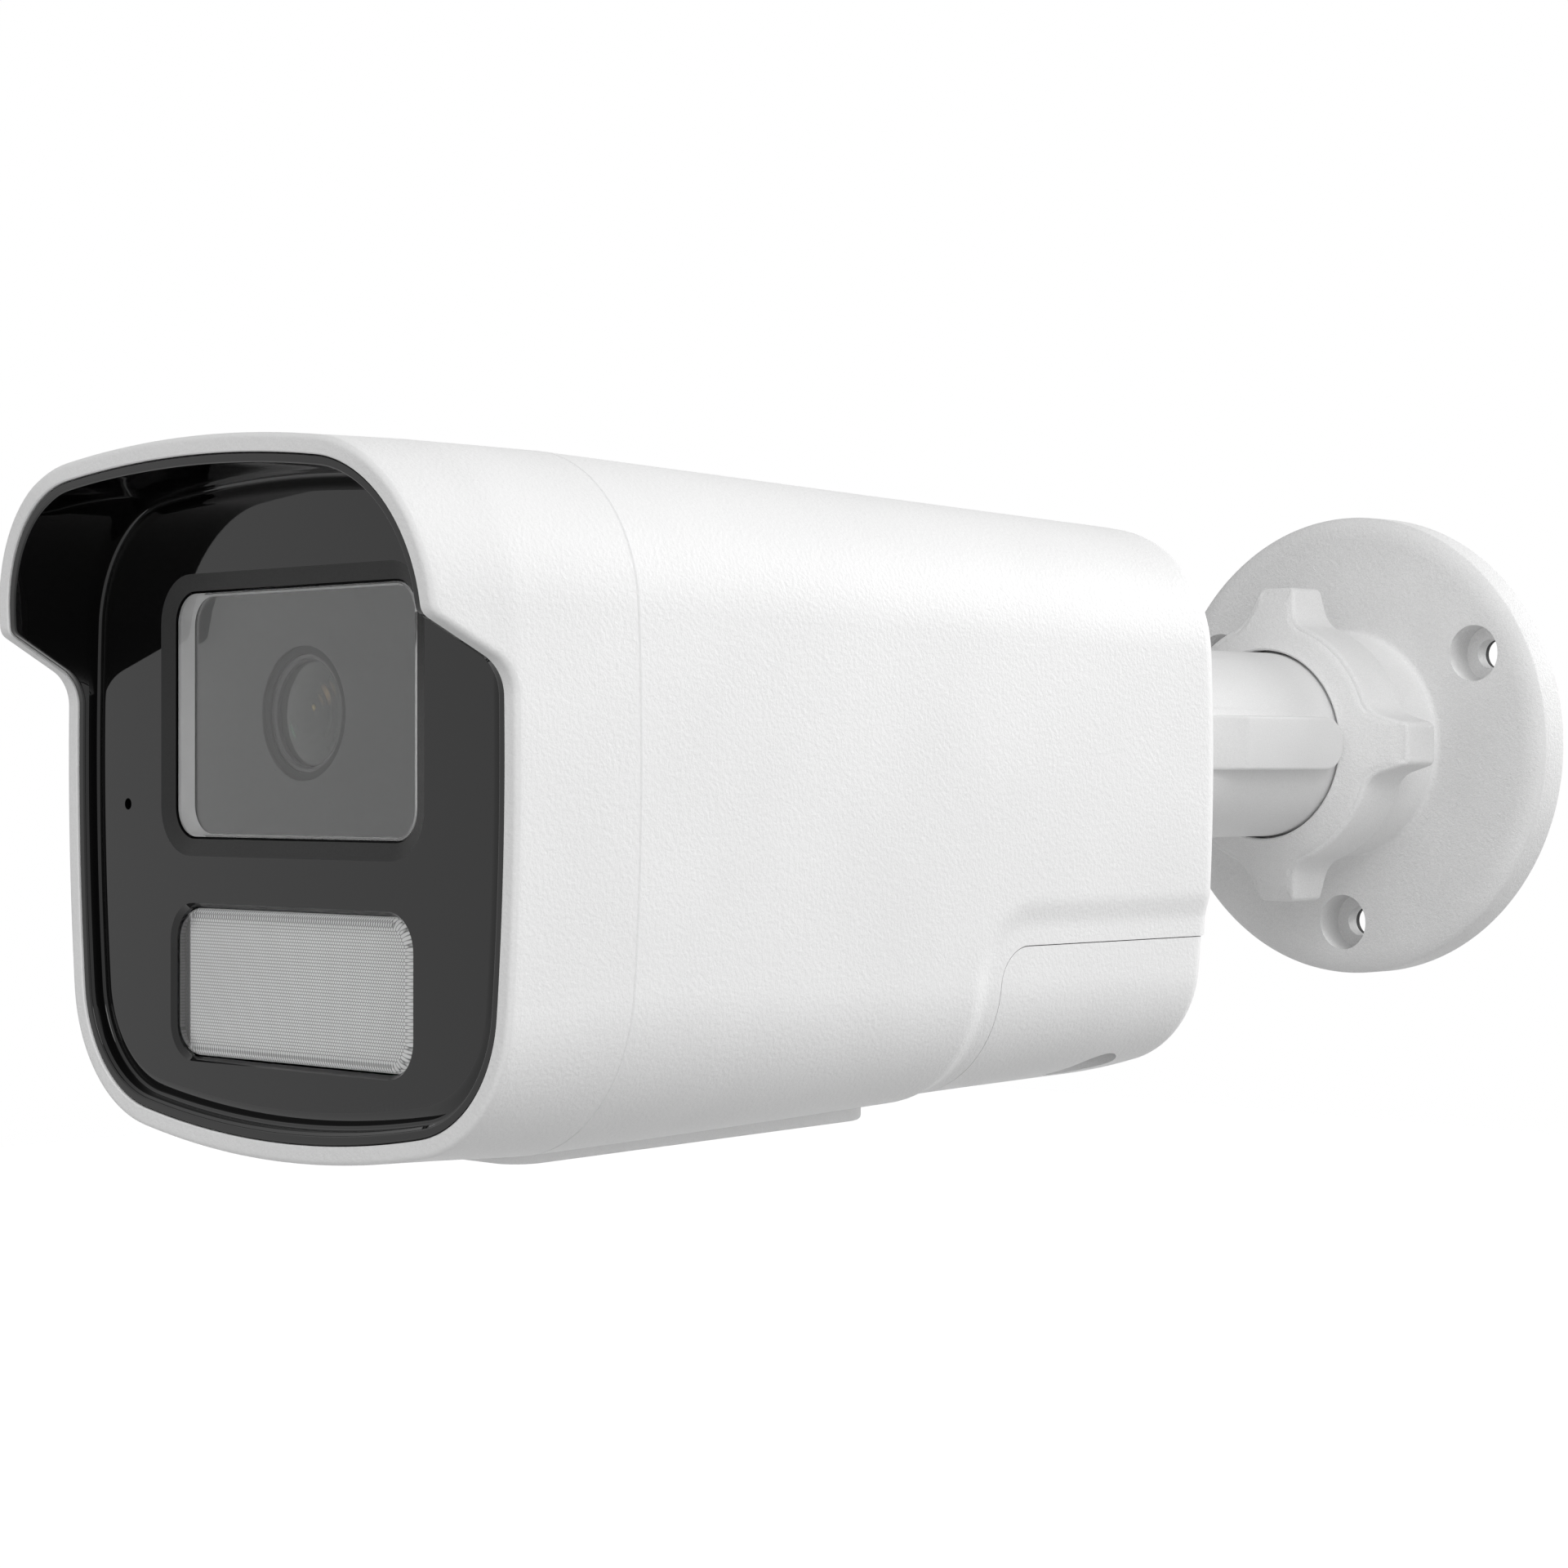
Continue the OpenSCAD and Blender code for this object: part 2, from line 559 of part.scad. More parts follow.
// Flat pad under the body, for resting or strapping the camera on a flat.
module bottom_pad() intersection() {
    translate([0, cover_l, -bottom_h - pad_drop]) rotate([pad_slope, 0, 0])
        linear_extrude(pad_drop + 0.8 * wall) polygon([for (p = rounded_box(pad_w, pad_l, 4)) p + [0, pad_l / 2]]);
    translate([-pad_w, cover_l, -2 * bottom_h]) cube([2 * pad_w, 2 * pad_l, 2 * bottom_h]);
}

// Wall that closes the electronics off from the service compartment under the hatch.
ceiling_t = 2;
service_w = 30;
service_l = 20;
service_y = hatch_y + 8;
module service_ceiling() difference() {
    intersection() {
        loft([ring_at(cover_l, wall - 0.6), ring_at(inner_back_y + 1, wall - 0.6)]);
        across(2 * body_w) difference() {
            hatch_profile(ceiling_t);
            hatch_profile();
        }
    }
    translate([-service_w / 2, service_y, -hatch_depth - eps]) cube([service_w, service_l, ceiling_t + 2 * eps]);
    hatch_screw_places(-hatch_depth - eps) cylinder(h = ceiling_t + 2 * eps, r = m3_r + 0.05);
}

module hatch_screw_places(z) mirrored()
    translate([hatch_screw_x, body_back_y - hatch_screw_back, z]) children();

hatch_floor_z = -bottom_h + (body_l - hatch_screw_back) * tan(bottom_draft) + hatch_inset;
screw_head_z = -hatch_depth - 7;
seal_t = 0.8;
ledge_t = 1.2;
ledge_w = 3;
module hatch_cover() color("white") head_frame() difference() {
    union() {
        intersection() {
            loft(cup(hatch_inset, wall, rear_wall));
            across(2 * body_w) hatch_profile(-hatch_gap);
        }
        intersection() {
            union() {
                hatch_screw_places(hatch_floor_z - 2)
                    cylinder(h = -hatch_depth - seal_t - hatch_floor_z + 2, r = hatch_pocket_d / 2 + 1.4);
                hatch_ledge(-hatch_depth - seal_t - ledge_t, ledge_t);
            }
            loft([ring_at(cover_l, hatch_inset + wall / 2),
                  ring_at(body_back_y - rear_edge_r, hatch_inset + wall / 2)]);
        }
    }
    hatch_screw_places(screw_head_z - 2 * bottom_h) cylinder(h = 2 * bottom_h, r = hatch_pocket_d / 2);
    hatch_screw_places(screw_head_z - eps) cylinder(h = -screw_head_z, r = m3_r + seat);
}

// Frame inside the hatch's upper edge, and the seal of the same outline that lies on it.
module hatch_ledge(z, t) {
    front_y = hatch_y + hatch_r;
    inside = wall + ledge_w + (inner_back_y - cover_l) * tan(side_draft);
    difference() {
        translate([-body_w / 2, front_y, z]) cube([body_w, inner_back_y - seat - front_y, t]);
        translate([inside - body_w / 2, front_y + ledge_w, z - 1])
            cube([body_w - 2 * inside, inner_back_y - front_y - 2 * ledge_w, t + 2]);
    }
}
module hatch_gasket() color("black") head_frame() difference() {
    intersection() {
        hatch_ledge(-hatch_depth - seal_t, seal_t);
        loft([ring_at(cover_l, hatch_inset + wall + seat), ring_at(inner_back_y, hatch_inset + wall + seat)]);
    }
    hatch_screw_places(-hatch_depth - 2) cylinder(h = 4, r = m3_r + seat);
}

module hatch_screws() color("silver") head_frame()
    hatch_screw_places(screw_head_z) mirror([0, 0, 1]) screw(length = -hatch_depth - screw_head_z + ceiling_t + 1);

// ---- Swivel seat and cable outlet in the rear wall ----

// The cable outlet stands between the swivel plate and the body's side wall.
grommet_gap = 0.6;
grommet_margin = 2.31;
grommet_lip = 1;
grommet_wall = 1.6;
grommet_room = body_w / 2 - body_l * tan(side_draft) - wall - grommet_margin - swivel_plate_r - grommet_gap;
grommet_r = grommet_room / 2 - grommet_lip;
grommet_x = swivel_plate_r + grommet_gap + grommet_room / 2;
grommet_depth = 4;
cable_hole_r = grommet_r - grommet_wall;
module socket_screw_places()
    for (a = [45:90:315]) rotate([0, a, 0]) translate([swivel_plate_r - 2.4, 0, 0]) children();

module swivel_plate() color("silver") head_frame() difference() {
    rod(plate_front_y, swivel_plate_t, swivel_plate_r);
    rod(plate_front_y - 1, swivel_plate_t + 2, spigot_d / 2 + running);
    socket_screw_places() rod(plate_front_y - 1, swivel_plate_t + 2, m3_r + seat);
}

module swivel_plate_screws() color("silver") head_frame() socket_screw_places()
    translate([0, plate_front_y, 0]) rotate([90, 0, 0]) screw(length = swivel_plate_t + rear_wall - 1.2, head_r = 2.3);

module cable_grommet() color("dimgray") head_frame() translate([-grommet_x, 0, -grommet_depth]) difference() {
    union() {
        rod(inner_back_y - eps, rear_wall, grommet_r);
        rod(inner_back_y - 1.6, 1.6, grommet_r + grommet_lip);
    }
    rod(inner_back_y - 2, rear_wall + 4, cable_hole_r);
}

// ---- Front cover and face ----

// Region in front of the cover's edge, seen from the side and moved back by back.
module step_profile(back = 0) polygon(concat(
    [for (p = rounded([
        [-visor_l - 40, 2 * top_h, 0], [-visor_l - 40, -2 * bottom_h, 0], [0, -2 * bottom_h, 0],
        [0, rim_top_h, rim_fillet], [-visor_l + visor_rake, visor_tip_h, visor_tip_r],
        [-visor_l, top_h - 4, 6], [-visor_l, 2 * top_h, 0]])) p + [back, 0]]));

module front_cover() color("white") head_frame() difference() {
    union() {
        difference() {
            loft([ring_at(-visor_l, rim_edge_r), ring_at(-visor_l + rim_edge_r, 0), ring_at(0, 0),
                  ring_at(cover_l, 0), ring_at(cover_l, wall), ring_at(cover_l / 2, wall),
                  ring_at(cover_l / 2 - 2, rim_t), ring_at(face_back_y, rim_t), ring_at(0, rim_t),
                  ring_at(-visor_l, rim_t)], joined = true);
            across(2 * body_w) step_profile();
        }
        boss_places() rod(face_back_y + seat, chassis_y - seat - face_back_y, boss_r);
    }
    boss_places() rod(chassis_y - 6, 7, m3_r + 0.05);
}

// Screw bosses stand against the inside of the cover's walls.
function inner_x(z, inset) = let (s = section(0, inset))
    max([for (i = [0:len(s) - 1]) let (a = s[i], b = s[(i + 1) % len(s)])
        (a.y - z) * (b.y - z) <= 0 && a.x > 0 ? a.x + (b.x - a.x) * (z - a.y) / (b.y - a.y + 1e-9) : 0]);
module boss_places() mirrored() for (z = [boss_top_h, -boss_low_h])
    translate([inner_x(z, wall) - boss_r + 0.5, 0, z]) children();

module front_seal() color("black") head_frame()
    loft([ring_at(cover_l - 1.5, wall + seat, cover_l), ring_at(cover_l + 3, wall + seat),
          ring_at(cover_l + 3, wall + 1.4), ring_at(cover_l - 1.5, wall + 1.4, cover_l)], joined = true);

module front_bezel() color([0.04, 0.04, 0.045]) head_frame() difference() {
    loft([ring_at(face_y, rim_t + liner_foot), ring_at(-visor_l + 0.3, rim_t + liner_lip),
          ring_at(-visor_l + 0.3, rim_t + seat), ring_at(0, rim_t + seat), ring_at(face_back_y, rim_t + seat)]);
    across(2 * body_w) step_profile(0.25);
    translate([0, 0, window_z]) {
        loft([for (s = [1, -1]) outline_at(window_y - s * window_setback,
            rounded_box(window_w + 2 * s * frame_w, window_h + 2 * s * frame_w, window_r + s * frame_w))]);
        plate(face_y - 1, face_t + 2) polygon(rounded_box(window_w + 2 * seat, window_h + 2 * seat, window_r));
    }
    translate([0, 0, -light_depth]) plate(face_y - 1, face_t + 2)
        polygon(rounded_box(light_w + 2 * seat, light_h + 2 * seat, light_r));
    translate([-mic_x, 0, -mic_depth]) rod(face_y - 1, face_t + 2, mic_hole_d / 2);
}

module lens_window() color([0.75, 0.78, 0.78, 0.35]) head_frame() translate([0, 0, window_z])
    plate(window_y, window_t) polygon(rounded_box(window_w, window_h, window_r));

// Soft frame behind the face that seals the lens window.
module window_gasket() color("black") head_frame() translate([0, 0, window_z]) difference() {
    plate(face_back_y, window_back_y - face_back_y)
        polygon(rounded_box(window_w + 3, window_h + 2.4, window_r + 1.2));
    plate(face_back_y - 1, window_t + 2) polygon(rounded_box(window_w + 2 * seat, window_h + 2 * seat, window_r));
}

module light_window() color([0.85, 0.86, 0.86, 0.6]) head_frame() translate([0, 0, -light_depth])
    plate(light_y, light_t) polygon(rounded_box(light_w, light_h, light_r));

reflector_t = 4.5;
led_board_y = light_back_y + reflector_t + 0.2;
led_board_t = board_t;
led_t = 0.8;
chassis_y = led_board_y + led_board_t;
chassis_t = 2;
module led_places() for (i = [0:led_count - 1])
    translate([(i - (led_count - 1) / 2) * light_w / led_count, 0, -light_depth]) children();

module light_reflector() color("silver") head_frame() difference() {
    translate([0, 0, -light_depth]) plate(light_back_y + seat, reflector_t)
        polygon(rounded_box(light_w, light_h - 1, light_r - 0.5));
    led_places() translate([0, light_back_y + seat - eps, 0]) rotate([-90, 0, 0])
        cylinder(h = reflector_t + 2 * eps, r1 = light_w / led_count / 2 - 0.3, r2 = 2.4);
}

module led_board() color("darkgreen") head_frame() translate([-light_w / 2 - 2, led_board_y, -light_depth - light_h / 2])
    cube([light_w + 4, led_board_t, light_h]);

module leds() color("khaki") head_frame() led_places()
    translate([-1.4, led_board_y - led_t, -1.4]) cube([2.8, led_t, 2.8]);

module microphone_boot() color("black") head_frame() translate([-mic_x, 0, -mic_depth]) difference() {
    rod(face_back_y, 4, mic_d / 2 + 1);
    rod(face_back_y + 1, 4, mic_d / 2 + seat / 2);
    rod(face_back_y - 1, 3, mic_hole_d / 2 + 0.3);
}

module microphone() color("silver") head_frame() translate([-mic_x, 0, -mic_depth])
    rod(face_back_y + 1, 3.4, mic_d / 2);

// ---- Lens, filter and sensor ----

lens_y = window_back_y + lens_gap;
lens_rim_t = 2.2;
lens_back_y = lens_y + lens_l;
holder_r = lens_thread_d / 2 + 2.2;
holder_y = lens_y + 6;
filter_y = lens_back_y + 1.6;
sensor_board_y = filter_y + 8;
sensor_t = 1.2;
module lens_axis() head_frame() translate([0, 0, window_z]) children();

module lens_barrel() color([0.08, 0.08, 0.08]) lens_axis() difference() {
    union() {
        rod(lens_y, lens_rim_t, lens_rim_d / 2);
        rod(lens_y + lens_rim_t - eps, lens_l - lens_rim_t + eps, lens_thread_d / 2);
    }
    rod(lens_y - eps, 1.2, lens_rim_d / 2 - 0.8);
    rod(lens_y, lens_l + 1, lens_bore_r);
}

lens_bore_r = lens_thread_d / 2 - 1;
function ball_r(r, bulge) = (r * r + bulge * bulge) / (2 * bulge);
// Plano-convex element: a slice of a ball on a short cylinder.
module element(y, bulge, rim, r) translate([0, y, 0]) intersection() {
    rod(0, bulge + rim, r);
    translate([0, ball_r(r, bulge), 0]) sphere(r = ball_r(r, bulge), $fn = 128);
}

module front_lens() color([0.6, 0.7, 0.68, 0.5]) lens_axis()
    element(lens_y + 1.3, 1.2, 1.4, lens_bore_r - seat / 2);
module lens_retaining_ring() color([0.1, 0.1, 0.1]) lens_axis() difference() {
    rod(lens_y + 0.3, 0.85, lens_rim_d / 2 - 0.8 - seat);
    rod(lens_y, 2, lens_bore_r - 0.6);
}
module middle_lens() color([0.6, 0.7, 0.68, 0.5]) lens_axis()
    element(lens_y + 5.4, 0.9, 1.4, lens_bore_r - seat / 2);
module rear_lens() color([0.6, 0.7, 0.68, 0.5]) lens_axis()
    element(lens_back_y - 3.4, 1, 1.6, lens_bore_r - seat / 2);

// Rubber baffle that fills the window's view and keeps stray light away from the lens.
baffle_t = 1;
module lens_shroud() color("black") lens_axis() difference() {
    union() {
        plate(window_back_y + seat, baffle_t)
            polygon(rounded_box(window_w + 3, window_h + 2.4, window_r + 1.2));
        rod(window_back_y + seat, holder_y - window_back_y - 2 * seat, lens_rim_d / 2 + 2.4);
    }
    rod(window_back_y, holder_y - window_back_y, lens_rim_d / 2 + seat);
}

module lens_holder() color([0.12, 0.12, 0.12]) lens_axis() difference() {
    union() {
        rod(holder_y, filter_y - holder_y - 1, holder_r);
        translate([-holder_w / 2, filter_y - 2.6, -holder_w / 2]) cube([holder_w, 2.6, holder_w]);
    }
    rod(holder_y - 1, filter_y - holder_y + 2, lens_thread_d / 2 + running);
}

holder_w = 18;
slider_w = 2 * filter_w + 3;
slider_h = filter_w + 3;
slider_t = 1.2;
slider_y = filter_y + 2.2;
cavity_w = slider_w + filter_travel + 2 * free_gap;
cavity_h = slider_h + 0.2;
module filter_housing() color([0.15, 0.15, 0.15]) lens_axis() difference() {
    translate([-cavity_w / 2 - 1.5, filter_y + seat, -cavity_h / 2 - 1.5])
        cube([cavity_w + 3, sensor_board_y - filter_y - seat, cavity_h + 3]);
    translate([-cavity_w / 2, slider_y - 0.1, -cavity_h / 2])
        cube([cavity_w, sensor_board_y - slider_y + 1, cavity_h]);
    rod(filter_y, 4, 3.4);
}

module filter_motor() color("peru") lens_axis()
    translate([-4, filter_y + 1, -cavity_h / 2 - 1.5 - 5.1]) cube([8, 6, 5]);

module glass_places() for (s = [-1, 1]) translate([s * filter_travel / 2, 0, 0]) children();
// Carriage with two filter glasses. It rests with the infrared-cut glass on the lens axis.
module at_slider() lens_axis() translate([-filter_travel / 2, slider_y, 0]) children();
module filter_slider() color("orange") at_slider() difference() {
    translate([-slider_w / 2, 0, -slider_h / 2]) cube([slider_w, slider_t, slider_h]);
    glass_places() translate([-filter_w / 2 + 0.1, -1, -filter_w / 2]) cube([filter_w - 0.2, 4, filter_w]);
}
module ir_cut_glass() color([0.5, 0.8, 0.85, 0.5]) at_slider() translate([filter_travel / 2, 0, 0])
    translate([-filter_w / 2 + 0.2, 0.2, -filter_w / 2 + 0.1]) cube([filter_w - 0.4, 0.8, filter_w - 0.2]);
module clear_glass() color([0.85, 0.9, 0.9, 0.4]) at_slider() translate([-filter_travel / 2, 0, 0])
    translate([-filter_w / 2 + 0.2, 0.2, -filter_w / 2 + 0.1]) cube([filter_w - 0.4, 0.8, filter_w - 0.2]);

module sensor_board() color("darkgreen") lens_axis() difference() {
    translate([-sensor_board_s / 2, sensor_board_y, -sensor_board_s / 2])
        cube([sensor_board_s, board_t, sensor_board_s]);
    sensor_screw_places() rod(sensor_board_y - 1, board_t + 2, m3_r + seat);
}
module sensor_screw_places() for (x = [-1, 1], z = [-1, 1])
    translate([x * (sensor_board_s / 2 - 3), 0, z * (sensor_board_s / 2 - 3)]) children();
module image_sensor() color([0.2, 0.25, 0.3]) lens_axis()
    translate([-4.5, sensor_board_y - sensor_t, -3.6]) cube([9, sensor_t, 7.2]);
module sensor_screws() color("silver") lens_axis() sensor_screw_places()
    translate([0, sensor_board_y, 0]) rotate([90, 0, 0]) screw(length = board_t + 4);

// ---- Chassis and boards ----

post_l = 3;
rack_y = sensor_board_y + board_t + post_l;
rack_end_y = plate_front_y - 12;
board_y = rack_y + 5;
arm_w = 6;
board_under_z = -main_board_depth - board_t;
// Folded metal frame: lamp shelf in front, sensor rack behind it and two arms under the main board.
module front_chassis() color("lightgray") head_frame() difference() {
    union() {
        across(54) polygon([
            [chassis_y, -light_depth - light_h / 2 - 1], [chassis_y + chassis_t, -light_depth - light_h / 2 - 1],
            [chassis_y + chassis_t, shelf_z - chassis_t], [rack_y + chassis_t, shelf_z - chassis_t],
            [rack_y + chassis_t, rack_top_z], [rack_y, rack_top_z], [rack_y, shelf_z],
            [chassis_y, shelf_z]]);
        for (z = [boss_top_h, -boss_low_h]) let (span = inner_x(z + 4 * sign(z), wall) - 0.4)
            translate([-span, chassis_y, z - 4]) cube([2 * span, chassis_t, 8]);
        mirrored() translate([27 - 4, chassis_y, -boss_low_h]) cube([4, chassis_t, boss_top_h + boss_low_h]);
        lens_axis_local() sensor_screw_places() rod(sensor_board_y + board_t, post_l + eps, 2.6);
        mirrored() translate([main_board_w / 2 - arm_w, rack_y, board_under_z - 2.5])
            cube([arm_w, rack_end_y - rack_y, 2.5]);
    }
    lens_axis_local() rod(chassis_y - 1, chassis_t + 2, lens_rim_d / 2 + 3.4);
    lens_axis_local() sensor_screw_places() rod(sensor_board_y, post_l + 4, m3_r + seat / 2);
    boss_places() rod(chassis_y - 1, chassis_t + 2, m3_r + seat);
    board_screw_places() translate([0, 0, -8]) cylinder(h = 10, r = m3_r + seat / 2);
}
module lens_axis_local() translate([0, 0, window_z]) children();
shelf_z = window_z - sensor_board_s / 2 - 0.4;
rack_top_z = window_z + sensor_board_s / 2;

module chassis_screws() color("silver") head_frame() boss_places()
    translate([0, chassis_y + chassis_t, 0]) rotate([-90, 0, 0]) screw(length = chassis_t + 5);

module board_screw_places() mirrored() for (y = [3.5, main_board_l - 3.5])
    translate([main_board_w / 2 - arm_w / 2, board_y + y, board_under_z]) children();
module main_board() color("darkgreen") head_frame() difference() {
    translate([-main_board_w / 2, board_y, board_under_z]) cube([main_board_w, main_board_l, board_t]);
    board_screw_places() translate([0, 0, -1]) cylinder(h = board_t + 2, r = m3_r + seat);
}
module board_screws() color("silver") head_frame() board_screw_places()
    translate([0, 0, board_t]) screw(length = board_t + 2);

chip_y = board_y + main_board_l / 2;
ribbon_plug_y = 2.2;
ribbon_plug_w = 4;
memory_gap = 0.3;
module on_board(x, y, size) translate([x - size.x / 2, y - size.y / 2, -main_board_depth]) cube(size);
chip_t = 1.2;
pad_t = 1;
sink_w = main_board_l / 2 + 2;
sink_base_t = 2.4;
fin_t = 1.4;
fin_h = 9;
module processor() color([0.1, 0.1, 0.1]) head_frame() on_board(0, chip_y, [processor_s, processor_s, chip_t]);
module thermal_pad() color("lightblue") head_frame() translate([0, 0, chip_t])
    on_board(0, chip_y, [processor_s, processor_s, pad_t]);
module heat_sink() color("silver") head_frame() translate([0, 0, chip_t + pad_t]) {
    on_board(0, chip_y, [sink_w, sink_w, sink_base_t]);
    for (i = [0:fin_count - 1]) translate([0, 0, sink_base_t - eps])
        on_board((i / (fin_count - 1) - 0.5) * (sink_w - fin_t), chip_y, [fin_t, sink_w, fin_h]);
}
// Memory chips fill the room between the ribbon's connector and the heat sink.
memory_l = main_board_l / 2 - sink_w / 2 - memory_gap - ribbon_plug_y - ribbon_plug_w / 2 - 0.5;
module memory_chips() color([0.12, 0.12, 0.12]) head_frame() mirrored()
    on_board(sink_w / 2 - 8, chip_y - sink_w / 2 - memory_gap - memory_l / 2, [9, memory_l, 1]);
module network_transformer() color([0.15, 0.15, 0.15]) head_frame()
    on_board(-14, board_y + main_board_l - 6, [13, 9, 6]);
module power_inductors() color([0.25, 0.25, 0.27]) head_frame()
    for (x = [8, 16]) on_board(x, board_y + main_board_l - 6, [7, 7, 4.5]);
ribbon_t = 0.3;
ribbon_w = 18;
ribbon_plug_l = ribbon_w + 4;
ribbon_plug_z = 6;
ribbon_plug_h = 3.6;
ribbon_plug_d = 1.8;
main_plug_h = 2.4;
module ribbon_connectors() color("ivory") {
    head_frame() on_board(0, board_y + ribbon_plug_y, [ribbon_plug_l, ribbon_plug_w, main_plug_h]);
    lens_axis() translate([-ribbon_plug_l / 2, sensor_board_y + board_t, ribbon_plug_z])
        cube([ribbon_plug_l, ribbon_plug_d, ribbon_plug_h]);
}

// Flat ribbon from the sensor board, through the rack's slot and down to the main board.
module sensor_ribbon() color("darkorange") head_frame() {
    z0 = window_z + ribbon_plug_z + ribbon_plug_h;
    z1 = -main_board_depth + main_plug_h;
    high_y = sensor_board_y + board_t + ribbon_plug_d / 2;
    low_y = board_y + ribbon_plug_y;
    bend_z = rack_top_z + 1.2;
    across(ribbon_w) polygon([
        [high_y, z0], [high_y + ribbon_t, z0], [high_y + ribbon_t, bend_z], [low_y, bend_z],
        [low_y, z1], [low_y + ribbon_t, z1], [low_y + ribbon_t, bend_z + ribbon_t],
        [high_y, bend_z + ribbon_t]]);
}

// ---- Service board above the hatch ----

service_board_t = 1.2;
service_board_z = -hatch_depth + ceiling_t;
switch_s = 6;
switch_t = 5.4;
button_l = 2.6;
button_x = 9;
button_y = service_y + service_l - 5;
socket_t = 2;
socket_w = 14;
socket_l = 15;
socket_x = -13;
connector_l = 20;
connector_w = 4;
module service_board() color("darkgreen") head_frame()
    translate([-service_w / 2 - 2, service_y - 2, service_board_z])
        cube([service_w + 4, service_l + 4, service_board_t]);
module card_socket() color("silver") head_frame() translate([socket_x, service_y + 2, service_board_z - socket_t])
    difference() {
        cube([socket_w, socket_l, socket_t]);
        translate([1, -1, 0.5]) cube([socket_w - 2, socket_l - 1, socket_t - 0.9]);
    }
module reset_switch() color("silver") head_frame()
    translate([button_x, button_y, service_board_z - switch_t]) difference() {
        translate([-switch_s / 2, -switch_s / 2, 0]) cube([switch_s, switch_s, switch_t]);
        translate([0, 0, -eps]) cylinder(h = button_l + eps, r = button_d / 2 + running);
    }
module reset_button() color("orangered") head_frame()
    translate([button_x, button_y, service_board_z - switch_t + button_l - button_travel - 0.1]) mirror([0, 0, 1])
        cylinder(h = button_l + 1, r = button_d / 2);
module board_connector() color("ivory") head_frame()
    translate([-connector_l / 2, service_y + 4, service_board_z + service_board_t])
        cube([connector_l, connector_w, board_under_z - service_board_z - service_board_t]);

base_plate();
wall_gasket();
locking_ring();
knuckle_arm();
tilt_bolt();
tilt_nut();
friction_washers();
tilt_arm();
swivel_washer();
swivel_screw();
body_housing();
hatch_cover();
hatch_gasket();
hatch_screws();
swivel_plate();
swivel_plate_screws();
cable_grommet();
front_cover();
front_seal();
front_bezel();
lens_window();
window_gasket();
light_window();
light_reflector();
led_board();
leds();
microphone_boot();
microphone();
lens_barrel();
front_lens();
lens_retaining_ring();
middle_lens();
rear_lens();
lens_shroud();
lens_holder();
filter_housing();
filter_motor();
filter_slider();
ir_cut_glass();
clear_glass();
sensor_board();
image_sensor();
sensor_screws();
front_chassis();
chassis_screws();
main_board();
board_screws();
processor();
thermal_pad();
heat_sink();
memory_chips();
network_transformer();
power_inductors();
ribbon_connectors();
sensor_ribbon();
service_board();
card_socket();
reset_switch();
reset_button();
board_connector();
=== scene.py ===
"""A wall-mounted bullet security camera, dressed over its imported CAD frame.

The file follows the camera as it is put together: the bracket from the wall outwards, the body and
its hatch, what is inside, then the face, the front cover, and last the studio. Lengths are in metres.
"""

import math

import bpy
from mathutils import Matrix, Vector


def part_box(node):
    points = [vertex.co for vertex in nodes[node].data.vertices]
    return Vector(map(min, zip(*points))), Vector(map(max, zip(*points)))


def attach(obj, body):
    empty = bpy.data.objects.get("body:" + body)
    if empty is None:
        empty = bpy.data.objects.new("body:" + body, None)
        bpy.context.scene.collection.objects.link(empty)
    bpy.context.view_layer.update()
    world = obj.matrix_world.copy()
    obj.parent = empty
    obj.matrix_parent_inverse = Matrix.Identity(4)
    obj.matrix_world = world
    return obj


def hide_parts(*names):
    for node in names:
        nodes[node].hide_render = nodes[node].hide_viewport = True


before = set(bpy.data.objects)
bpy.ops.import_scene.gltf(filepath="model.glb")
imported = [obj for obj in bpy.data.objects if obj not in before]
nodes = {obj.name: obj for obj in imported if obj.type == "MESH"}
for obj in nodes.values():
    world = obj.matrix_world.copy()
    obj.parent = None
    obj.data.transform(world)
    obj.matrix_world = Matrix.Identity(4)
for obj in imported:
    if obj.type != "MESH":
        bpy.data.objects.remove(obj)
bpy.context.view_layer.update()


# ---- Wall gasket ----
# A ring of closed-cell rubber foam, die-cut from sheet. It seals the base plate to the wall,
# and the three wall screws pass through it.

def feed(tree, target, inputs):
    """Sets a shader node's inputs, each to a plain value or by a link from a socket."""
    for label, value in dict(inputs).items():
        if isinstance(value, bpy.types.NodeSocket):
            tree.links.new(value, target.inputs[label])
        else:
            target.inputs[label].default_value = value


def node(tree, kind, inputs=(), **settings):
    """A new shader node with its settings and inputs."""
    made = tree.nodes.new("ShaderNode" + kind)
    for label, value in settings.items():
        setattr(made, label, value)
    feed(tree, made, inputs)
    return made


def rgba(colour):
    """A colour with full alpha. A single number is a grey."""
    return (colour, colour, colour, 1) if isinstance(colour, (int, float)) else (*colour, 1)


def material(name, colour, roughness, metallic=0.0):
    """A new material with one Principled shader."""
    made = bpy.data.materials.new(name)
    made.use_nodes = True
    tree = made.node_tree
    shader = tree.nodes["Principled BSDF"]
    feed(tree, shader, {"Base Color": rgba(colour), "Roughness": roughness, "Metallic": metallic})
    return made, tree, shader


def object_point(tree):
    """The socket with a surface point's place on its piece."""
    return node(tree, "TexCoord").outputs["Object"]


